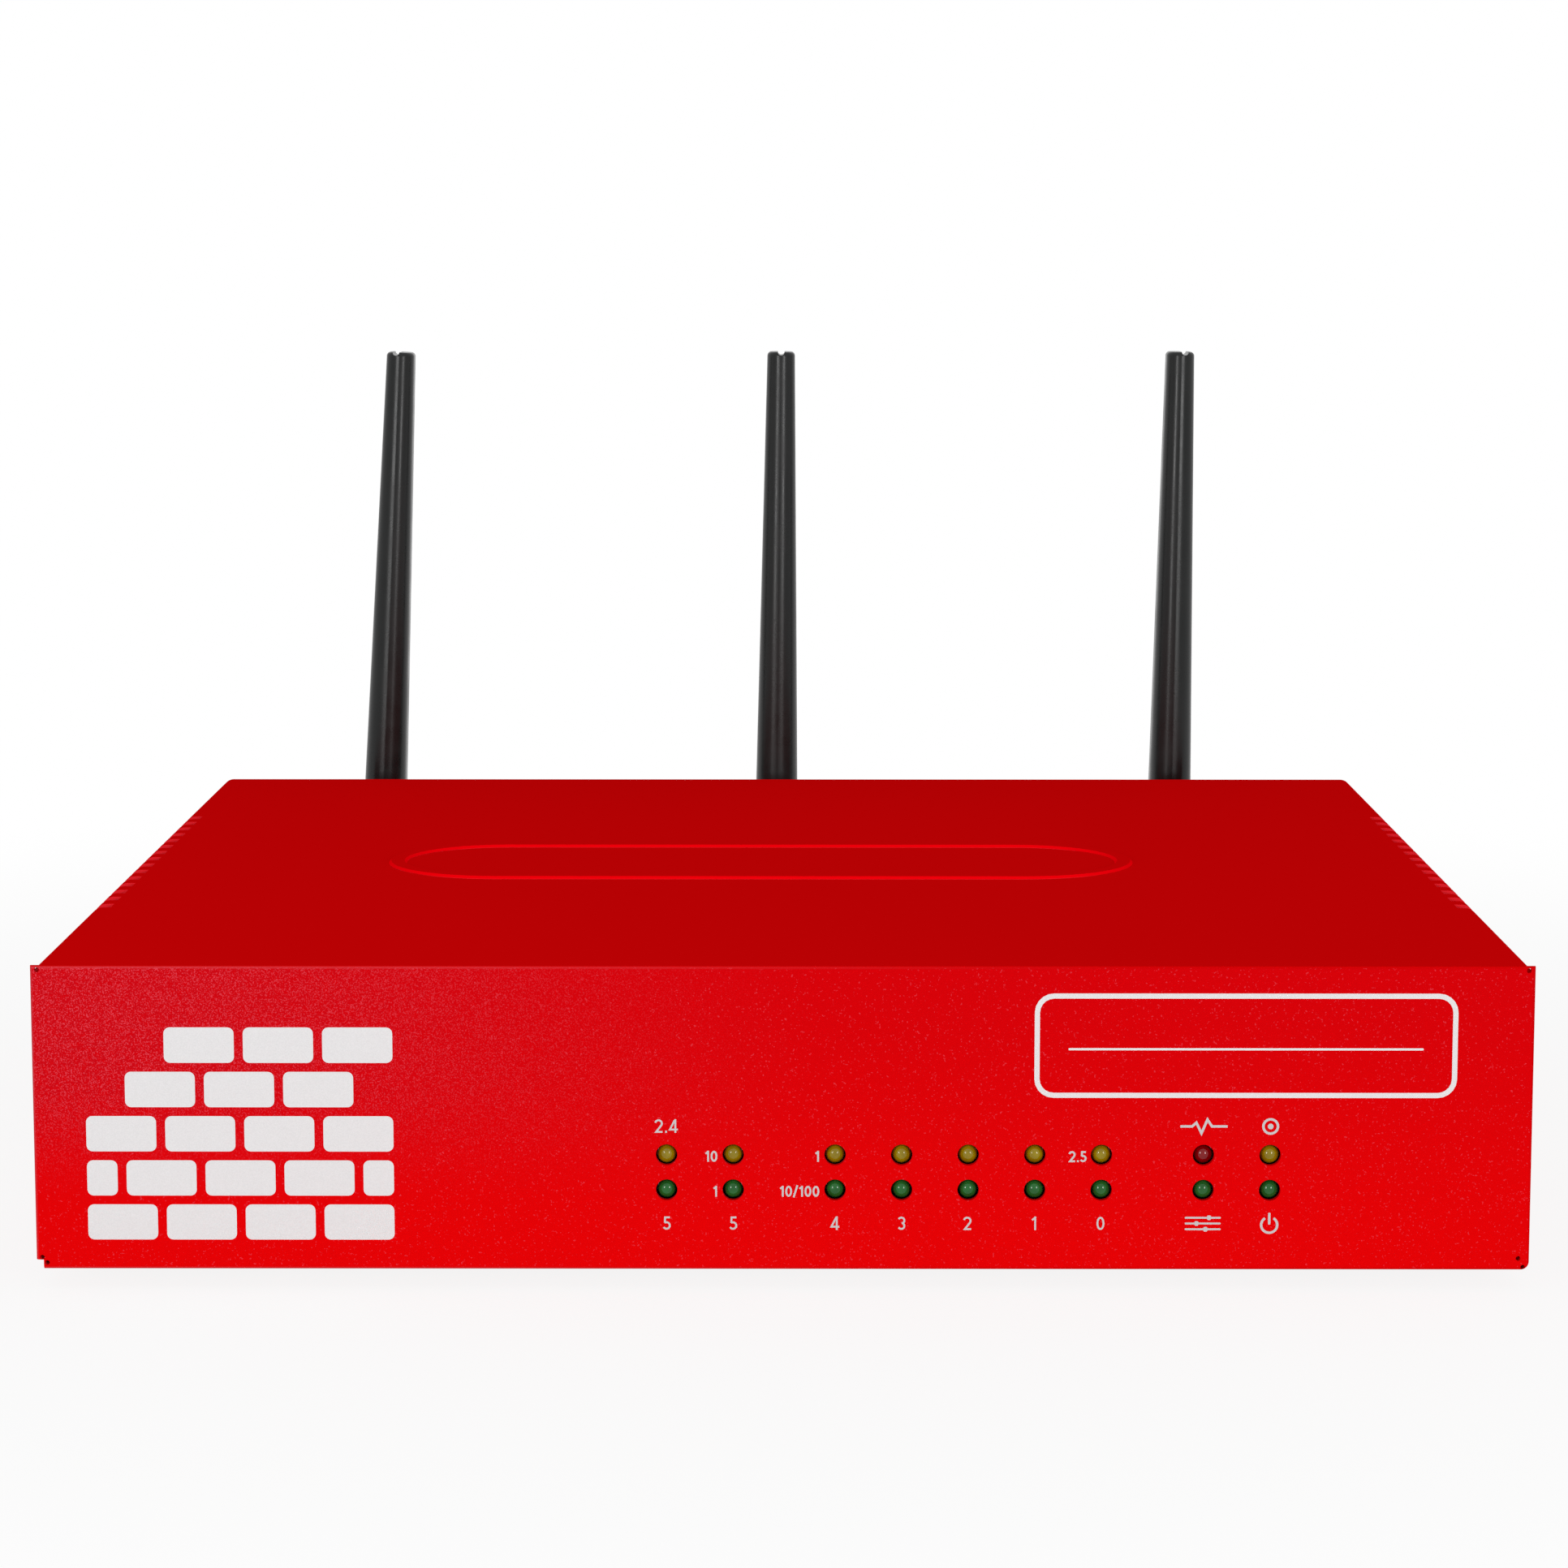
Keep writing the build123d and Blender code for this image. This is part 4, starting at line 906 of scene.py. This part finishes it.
class APPLIANCE_OT_network_insides(Operator):
    """Line each network jack and give it contacts, shield tabs and link lights"""

    bl_idname = "appliance.network_insides"
    bl_label = "Network jack insides"

    def execute(self, context):
        sizes = context.scene.appliance_sockets
        for name in NETWORK_JACKS + ["console_jack"]:
            low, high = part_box(name)
            middle = (low.x + high.x) / 2
            self.lining(name, sizes, middle, low.z, high.y)
            self.contacts(name, sizes, middle, low.z, high.y)
            self.shield_tabs(name, middle, low.z, high.y)
            if name != "console_jack":
                self.link_lights(name, middle, high)
        return {"FINISHED"}

    def lining(self, name, sizes, middle, board, face):
        """Black plastic walls inside the mouth and its latch slot, and a comb at the back."""
        half = sizes.mouth_width / 2
        floor = sizes.mouth_rise
        roof = floor + sizes.mouth_height
        key, step = 3.1 * MM, 1.7 * MM
        key_floor, step_floor = floor - 1.6 * MM, floor - 2.6 * MM
        outline = [
            (half, floor), (half, roof), (-half, roof), (-half, floor), (-key, floor),
            (-key, key_floor), (-step, key_floor), (-step, step_floor), (step, step_floor),
            (step, key_floor), (key, key_floor), (key, floor),
        ]
        gap, recess, back = 0.02 * MM, 0.25 * MM, 0.4 * MM
        plane = on_rear(middle, board, face - REAR_FACE - recess)
        bm = bmesh.new()
        depth = sizes.mouth_depth - 0.3 * MM
        cup(bm, offset(outline, gap), sizes.lining, depth, plane, back)
        tooth = 0.44 * MM
        depths = (face - 13.2 * MM, face - 9.2 * MM)
        heights = (board + roof - 4.9 * MM, board + roof - 2.7 * MM)
        for i in range(sizes.contact_count + 1):
            x = middle + (i - sizes.contact_count / 2) * sizes.contact_pitch
            block(bm, x, tooth, depths, heights)
        add_piece("lining_" + name, bm, "black_plastic")

    def contacts(self, name, sizes, middle, board, face):
        """Gold spring wires that come back from the mouth's upper edge down to the comb."""
        roof = board + sizes.mouth_rise + sizes.mouth_height
        wire = scaled((
            (-7.5, -0.36), (-1.7, -0.36), (-1.25, -0.5), (-1.12, -0.78), (-1.3, -1.05),
            (-1.7, -1.25), (-10.2, -3.9), (-12.4, -4.1),
        ))
        bm = bmesh.new()
        for i in range(sizes.contact_count):
            x = middle + (i + 0.5 - sizes.contact_count / 2) * sizes.contact_pitch
            plane = from_side(x - sizes.contact_width / 2, face, roof)
            ribbon(bm, wire, 0.2 * MM, sizes.contact_width, plane)
        add_piece("contacts_" + name, bm, "gold_plate")

    def shield_tabs(self, name, middle, board, face):
        """Pressed spring tabs on the shield's face, beside and over the mouth."""
        bm = bmesh.new()
        plane = on_rear(middle, board, face - REAR_FACE)
        thickness, sunk, corner = 0.12 * MM, 0.05 * MM, 0.3 * MM
        for width, height, x, y in ((0.95, 4.6, -6.95, 6.6), (0.95, 4.6, 6.95, 6.6),
                                    (4.4, 0.9, 0, 12.3)):
            outline = rounded(width * MM, height * MM, corner, (x * MM, y * MM))
            slab(bm, outline, thickness, plane, -sunk)
        add_piece("shield_tabs_" + name, bm, "steel")

    def link_lights(self, name, middle, high):
        """The amber and the green window at the shield's upper corners."""
        across, drop, thickness, sunk = 5.6 * MM, 1.35 * MM, 0.13 * MM, 0.08 * MM
        for side, colour in ((-1, "amber"), (1, "green")):
            bm = bmesh.new()
            plane = on_rear(middle + side * across, high.z - drop, high.y - REAR_FACE)
            slab(bm, rounded(2.7 * MM, 1.35 * MM, 0.3 * MM), thickness, plane, -sunk)
            add_piece(f"link_light_{colour}_{name[-1]}", bm, colour + "_lens")


class APPLIANCE_OT_fibre_insides(Operator):
    """Give the fibre cage its inner springs and its connector"""

    bl_idname = "appliance.fibre_insides"
    bl_label = "Fibre cage insides"

    def execute(self, context):
        low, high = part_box("sfp_cage")
        middle = (low.x + high.x) / 2
        wall = 0.5 * MM
        self.springs(low, high, middle, wall)
        self.connector(low, middle)
        return {"FINISHED"}

    def springs(self, low, high, middle, wall):
        """Leaf springs along the cage's two sides and its roof."""
        leaf = scaled(((-0.4, 0.06), (-1.6, 0.5), (-3.4, 0.62), (-5.6, 0.1)))
        thickness, side_width, roof_width = 0.12 * MM, 1.5 * MM, 2.2 * MM
        bm = bmesh.new()
        for side in (-1, 1):
            turn = Matrix(((0, -side, 0, 0), (1, 0, 0, 0), (0, 0, 1, 0), (0, 0, 0, 1)))
            inner = middle + side * ((high.x - low.x) / 2 - wall)
            for up in (2.6 * MM, 6.0 * MM):
                plane = Matrix.Translation((inner, high.y, low.z + up)) @ turn
                ribbon(bm, leaf, thickness, side_width, plane)
        hanging = [(out, -d) for out, d in leaf]
        for x in (-4.2 * MM, 0.0, 4.2 * MM):
            plane = from_side(middle + x - roof_width / 2, high.y, high.z - wall)
            ribbon(bm, hanging, thickness, roof_width, plane)
        add_piece("fibre_springs", bm, "steel")

    def connector(self, low, middle):
        """A plastic frame at the cage's back with two rows of contacts."""
        frame_width, depth = 11.2 * MM, 6 * MM
        bar, opening, post = 1.5 * MM, 1.8 * MM, 1.0 * MM
        back, foot = low.y + 6.2 * MM, low.z + 1.6 * MM
        depths = (back, back + depth)
        bm = bmesh.new()
        for floor in (foot, foot + bar + opening):
            block(bm, middle, frame_width, depths, (floor, floor + bar))
        for side in (-1, 1):
            x = middle + side * (frame_width - post) / 2
            block(bm, x, post, depths, (foot + bar, foot + bar + opening))
        add_piece("fibre_connector", bm, "black_plastic")
        count, pitch, width, thickness = 10, 0.8 * MM, 0.32 * MM, 0.08 * MM
        bm = bmesh.new()
        for i in range(count):
            x = middle + (i - (count - 1) / 2) * pitch
            for z in (foot + bar, foot + bar + opening - thickness):
                block(bm, x, width, (back, back + depth - 0.4 * MM), (z, z + thickness))
        add_piece("fibre_contacts", bm, "gold_plate")


class APPLIANCE_OT_usb_insides(Operator):
    """Give each USB slot its plastic tongue, contacts, springs and back plate"""

    bl_idname = "appliance.usb_insides"
    bl_label = "USB jack insides"

    def execute(self, context):
        sizes = context.scene.appliance_sockets
        low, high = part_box("usb_jack")
        middle = (low.x + high.x) / 2
        back = high.y - 12 * MM
        plate, skin = 0.3 * MM, 0.06 * MM
        leaf = scaled(((-0.9, 0.03), (-2.6, 0.42), (-4.2, 0.55), (-6.0, 0.2), (-7.0, 0.03)))
        tongues, contacts, springs = bmesh.new(), bmesh.new(), bmesh.new()
        for level in range(2):
            floor = low.z + sizes.usb_rise + level * sizes.usb_pitch
            roof = floor + sizes.usb_height
            top = roof - 0.7 * MM
            foot = top - 1.8 * MM
            block(tongues, middle, 11.12 * MM, (back + plate, high.y - 0.72 * MM),
                  (foot - skin, top + skin))
            block(tongues, middle, 12.4 * MM, (back + 0.02 * MM, back + plate),
                  (floor + 0.04 * MM, roof - 0.04 * MM))
            for x in (-3.5, -1.0, 1.0, 3.5):
                block(contacts, middle + x * MM, 1.0 * MM, (high.y - 8.5 * MM, high.y - 1.5 * MM),
                      (foot - skin - 0.1 * MM, foot - skin))
            for x in (-3.4, 1.4):
                plane = from_side(middle + x * MM, high.y, floor)
                ribbon(springs, leaf, 0.1 * MM, 2.0 * MM, plane)
        add_piece("usb_tongues", tongues, "black_plastic")
        add_piece("usb_contacts", contacts, "gold_plate")
        add_piece("usb_springs", springs, "steel")
        return {"FINISHED"}


class APPLIANCE_OT_power_pin(Operator):
    """Sleeve the power jack's pin and its bore in plated metal"""

    bl_idname = "appliance.power_pin"
    bl_label = "Power pin"

    def execute(self, context):
        low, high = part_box("power_jack")
        bore_depth, bore_rise = 10 * MM, 6 * MM
        foot = ((low.x + high.x) / 2, high.y - bore_depth, low.z + bore_rise)
        plane = Matrix.Translation(foot) @ Matrix.Rotation(math.radians(-90), 4, "X")
        pin = ((0, 0), (1.03, 0), (1.03, 8.75), (0.97, 8.95), (0.8, 9.08), (0.55, 9.12), (0.5, 8.6),
               (0, 8.6))
        sleeve = ((0, 0.02), (3.08, 0.02), (3.08, 9.6), (2.98, 9.6), (2.98, 0.12), (0, 0.12))
        for name, profile, steps in (("power_pin", pin, 32), ("power_sleeve", sleeve, 40)):
            bm = bmesh.new()
            turned(bm, scaled(profile), plane, steps)
            add_piece(name, bm, "steel", smooth_below=35)
        return {"FINISHED"}


class APPLIANCE_OT_screws(Operator):
    """Replace the outer screws by ones with domed heads, cross recesses and threads"""

    bl_idname = "appliance.screws"
    bl_label = "Screws"

    def execute(self, context):
        points = [v.co for v in frame["nodes"]["cover_screws"].data.vertices]
        low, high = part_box("cover_screws")
        columns = middles([p.x for p in points], 3 * MM)
        rows = middles([p.y for p in points], 3 * MM)
        down = Matrix.Rotation(math.radians(180), 4, "X")
        places = [Matrix.Translation((x, y, UNDERSIDE)) @ down for x in columns for y in rows]
        head, shank = (2.8 * MM, UNDERSIDE - low.z), (1.45 * MM, high.z - UNDERSIDE)
        self.screw_group("cover_screw_set", "cover_screws", places, head, shank)
        low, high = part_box("ground_screw")
        middle = (low + high) / 2
        back = Matrix.Rotation(math.radians(-90), 4, "X")
        places = [Matrix.Translation((middle.x, REAR_FACE, middle.z)) @ back]
        head, shank = ((high.x - low.x) / 2, high.y - REAR_FACE), (1.95 * MM, REAR_FACE - low.y)
        self.screw_group("earth_screw", "ground_screw", places, head, shank)
        return {"FINISHED"}

    def screw_group(self, name, node, places, head, shank):
        """Screws whose heads bear on z = 0 of their places, over a shank (radius, length) below."""
        bm, recesses = bmesh.new(), bmesh.new()
        for plane in places:
            turned(bm, self.profile(*head, *shank), plane, 40)
            lines = [self.cross(recesses, plane, *head, *arms)
                     for arms in ((0.3, 0.12, 0.3), (0.62, 0.17, 1.2))]
            recesses.faces.new(lines[0][::-1])
            recesses.faces.new(lines[1])
            walls(recesses, *lines)
        add_piece(name, cut(bm, recesses), "steel", smooth_below=35, replaced=(node,))

    def profile(self, head_radius, head_height, radius, length):
        """A thread up to the head and then the head's dome, as (radius, height) points."""
        pitch = 0.5 * MM
        point, root = 0.72 * radius, 0.84 * radius
        profile = [(0, -length), (point, -length)]
        for i in range(int((length - 0.6 * MM) / pitch), 0, -1):
            profile += [(radius, -i * pitch), (root, (0.5 - i) * pitch)]
        profile += [(root, -0.02 * MM), (head_radius, 0)]
        for i in range(8):
            a = math.radians(90 * i / 8)
            across = 0.62 + 0.38 * math.cos(a)
            profile.append((across * head_radius, head_height * (0.3 + 0.7 * math.sin(a))))
        return profile + [(0.5 * head_radius, head_height), (0, head_height)]

    def cross(self, bm, plane, head_radius, head_height, arm, half, height):
        """The outline of a cross recess at a height, sized as shares of the head."""
        corner = [(arm, half), (half, half), (half, arm)]
        corners = corner + [(-y, x) for x, y in corner]
        corners += [(-x, -y) for x, y in corners]
        outline = [(x * head_radius, y * head_radius) for x, y in corners]
        return line_at(bm, outline, height * head_height, plane)


class APPLIANCE_OT_feet(Operator):
    """Replace the rubber feet by turned ones with a rounded rim and a ringed sole"""

    bl_idname = "appliance.feet"
    bl_label = "Rubber feet"

    def execute(self, context):
        sole = scaled((
            (0, 0.9), (2.2, 0.9), (2.5, 0.7), (3.4, 0.7), (3.6, 0.0), (4.3, 0.0), (4.45, 0.25),
            (5.0, 0.25), (5.15, 0.0), (6.1, 0.0), (6.5, 0.12), (6.8, 0.42), (7.0, 0.85),
        ))
        stem, barb, taper = 2.4 * MM, 3.2 * MM, 2.5 * MM
        top = UNDERSIDE + 1 * MM
        for side in ("front_left", "front_right", "rear_left", "rear_right"):
            low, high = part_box("foot_" + side)
            middle = (low + high) / 2
            radius = (high.x - low.x) / 2
            profile = [(r * radius / sole[-1][0], h) for r, h in sole]
            profile += [(radius, top), (stem, top), (stem, top + 1 * MM), (barb, top + 1 * MM),
                        (barb, high.z - 0.7 * MM), (taper, high.z), (0, high.z)]
            bm = bmesh.new()
            turned(bm, profile, Matrix.Translation((middle.x, middle.y, 0)), 64)
            add_piece("rubber_foot_" + side, bm, "black_rubber", smooth_below=40,
                      replaced=("foot_" + side,))
        return {"FINISHED"}


class APPLIANCE_OT_rear_print(Operator):
    """Print the port numbers and the marks on the rear panel, and mark the rocker's two ends"""

    bl_idname = "appliance.rear_print"
    bl_label = "Rear print"

    def execute(self, context):
        style = context.scene.appliance_print
        depth = style.thickness
        line = 0.34 * MM
        bm = bmesh.new()
        for i, name in enumerate(NETWORK_JACKS + ["sfp_cage"]):
            number(bm, str(i), style.number_height, self.over(name), depth)
        # Earth: an upright over three bars that get shorter
        plane = self.over("ground_screw", 3.4 * MM)
        ribbon(bm, [(0, 0), (0, 1.5 * MM)], line, depth, plane)
        for half, drop in scaled(((1.3, 0.0), (0.85, 0.65), (0.4, 1.3))):
            ribbon(bm, [(-half, -drop), (half, -drop)], line, LAYER * depth, plane)
        # Polarity: a dot in an open ring, each with its line
        plane = self.over("power_jack")
        ribbon(bm, arc((0, 0), 0.85 * MM, 30, 330, 24), line, depth, plane)
        slab(bm, circle(0.36 * MM), depth, plane)
        for start, end in scaled(((0.3, 2.0), (-2.0, -0.85))):
            ribbon(bm, [(start, 0), (end, 0)], line, LAYER * depth, plane)
        add_print("rear_marks", bm, "grey")
        self.rocker_marks(depth)
        return {"FINISHED"}

    def over(self, node, rise=3.2 * MM):
        """The drawing plane on the rear panel over a node."""
        return on_rear(middle_of(node).x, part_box(node)[1].z + rise)

    def rocker_marks(self, depth):
        """A bar on the rocker's upper end and a ring on its lower end."""
        ends = {}
        for face in frame["nodes"]["power_rocker"].data.polygons:
            if face.normal.y > 0.8:
                ends.setdefault(face.normal.z > 0.0, []).append(face)
        if len(ends) != 2:
            raise RuntimeError("the rocker should have two slanted faces")
        planes = []
        for faces in ends.values():
            area = sum(f.area for f in faces)
            middle = sum((f.center * f.area for f in faces), Vector()) / area
            normal = sum((f.normal * f.area for f in faces), Vector()).normalized()
            up = (Vector((0, 0, 1)) - normal * normal.z).normalized()
            turn = Matrix((up.cross(normal), up, normal)).transposed().to_4x4()
            planes.append(Matrix.Translation(middle) @ turn)
        lower, upper = sorted(planes, key=lambda plane: plane.translation.z)
        bm = bmesh.new()
        slab(bm, rounded(0.4 * MM, 2.0 * MM, 0.1 * MM), depth, upper)
        ribbon(bm, circle(0.85 * MM), 0.36 * MM, depth, lower, closed=True)
        add_print("rocker_marks", bm, "white", body="rocker")


class APPLIANCE_OT_stage(Operator):
    """Set up the floor, the lamps, the background and the camera"""

    bl_idname = "appliance.stage"
    bl_label = "Stage"

    def execute(self, context):
        scene = context.scene
        stage = scene.appliance_stage
        scene.view_settings.view_transform = "Standard"
        self.camera(scene, stage)
        self.floor(scene)
        self.lamps(scene, stage)
        self.background(scene, stage)
        return {"FINISHED"}

    def camera(self, scene, stage):
        """A camera before the appliance and a little above it."""
        data = bpy.data.cameras.new("camera")
        data.lens = stage.lens
        data.clip_start = 0.01
        camera = bpy.data.objects.new("camera", data)
        camera.location = stage.eye
        camera.rotation_euler = (math.radians(90) - stage.pitch, 0, stage.yaw)
        scene.collection.objects.link(camera)
        scene.camera = camera

    def floor(self, scene):
        """A pale floor that keeps a soft shadow near the appliance and turns white around it."""
        bm = bmesh.new()
        bmesh.ops.create_grid(bm, x_segments=8, y_segments=8, size=4.0)
        floor = bpy.data.objects.new("floor", mesh_from(bm, "floor"))
        scene.collection.objects.link(floor)
        material, shader, add, _ = fresh_material("pale_floor")
        shader.inputs["Base Color"].default_value = (0.88, 0.88, 0.88, 1)
        shader.inputs["Roughness"].default_value = 0.85
        shader.inputs["Specular IOR Level"].default_value = 0.1
        white = add("ShaderNodeEmission", Color=(1, 1, 1, 1), Strength=1.0)
        away = add("ShaderNodeVectorMath", {0: place(add)}, operation="LENGTH").outputs["Value"]
        share = product(add, seen_rays(add), span(add, away, 0.13, 0.42, start=0.88))
        mixed = add("ShaderNodeMixShader", {0: share, 1: shader.outputs[0], 2: white.outputs[0]})
        output = material.node_tree.nodes["Material Output"]
        material.node_tree.links.new(mixed.outputs[0], output.inputs["Surface"])
        floor.data.materials.append(material)

    def lamps(self, scene, stage):
        """Two soft boxes before the appliance, to the left and the right, and one over it."""
        target = Vector((0, FRONT_FACE, 30 * MM))
        distance = 0.85
        for name, turn, rise, power, size in (
            ("soft_box_left", -30, 10, stage.front_power, (0.15, 0.26)),
            ("soft_box_right", 30, 10, stage.front_power, (0.15, 0.26)),
            ("soft_box_top", 0, 72, stage.top_power, (0.9, 0.9)),
        ):
            data = bpy.data.lights.new(name, "AREA")
            data.shape = "RECTANGLE"
            data.size, data.size_y = size
            data.energy = power
            lamp = bpy.data.objects.new(name, data)
            a, e = math.radians(turn), math.radians(rise)
            offset = Vector((math.sin(a) * math.cos(e), -math.cos(a) * math.cos(e), math.sin(e)))
            lamp.location = target + distance * offset
            lamp.rotation_euler = offset.to_track_quat("Z", "Y").to_euler()
            scene.collection.objects.link(lamp)

    def background(self, scene, stage):
        """White where it is seen or mirrored, and an even pale light otherwise."""
        world = bpy.data.worlds.new("studio")
        world.use_nodes = True
        world.node_tree.nodes.clear()
        add = adder(world.node_tree)
        even, white = (add("ShaderNodeBackground", Color=(1, 1, 1, 1), Strength=strength)
                       for strength in (stage.ambient, 1.0))
        mixed = add("ShaderNodeMixShader",
                    {0: seen_rays(add), 1: even.outputs[0], 2: white.outputs[0]})
        add("ShaderNodeOutputWorld", {"Surface": mixed.outputs[0]})
        scene.world = world


class APPLIANCE_PT_sidebar(Panel):
    """Lists the settings and the pieces of the appliance"""

    bl_idname = "APPLIANCE_PT_sidebar"
    bl_label = "Firewall appliance"
    bl_space_type = "VIEW_3D"
    bl_region_type = "UI"
    bl_category = "Appliance"

    def draw(self, context):
        for operator in OPERATORS:
            self.layout.operator(operator.bl_idname)
        for name, settings in SETTINGS.items():
            box = self.layout.box()
            for prop in settings.__annotations__:
                box.prop(getattr(context.scene, name), prop)


OPERATORS = (
    APPLIANCE_OT_stage,
    APPLIANCE_OT_finishes,
    APPLIANCE_OT_light_numbers,
    APPLIANCE_OT_brick_pattern,
    APPLIANCE_OT_write_on_field,
    APPLIANCE_OT_network_insides,
    APPLIANCE_OT_fibre_insides,
    APPLIANCE_OT_usb_insides,
    APPLIANCE_OT_power_pin,
    APPLIANCE_OT_screws,
    APPLIANCE_OT_feet,
    APPLIANCE_OT_rear_print,
)
CLASSES = (*SETTINGS.values(), *OPERATORS, APPLIANCE_PT_sidebar)


def register():
    for cls in CLASSES:
        bpy.utils.register_class(cls)
    for name, settings in SETTINGS.items():
        setattr(bpy.types.Scene, name, PointerProperty(type=settings))


def unregister():
    for name in SETTINGS:
        delattr(bpy.types.Scene, name)
    for cls in reversed(CLASSES):
        bpy.utils.unregister_class(cls)


def main():
    register()
    bpy.ops.appliance.stage()
    bpy.ops.appliance.finishes()
    bpy.ops.appliance.light_numbers()
    bpy.ops.appliance.brick_pattern()
    bpy.ops.appliance.write_on_field()
    bpy.ops.appliance.network_insides()
    bpy.ops.appliance.fibre_insides()
    bpy.ops.appliance.usb_insides()
    bpy.ops.appliance.power_pin()
    bpy.ops.appliance.screws()
    bpy.ops.appliance.feet()
    bpy.ops.appliance.rear_print()


if __name__ == "__main__":
    main()
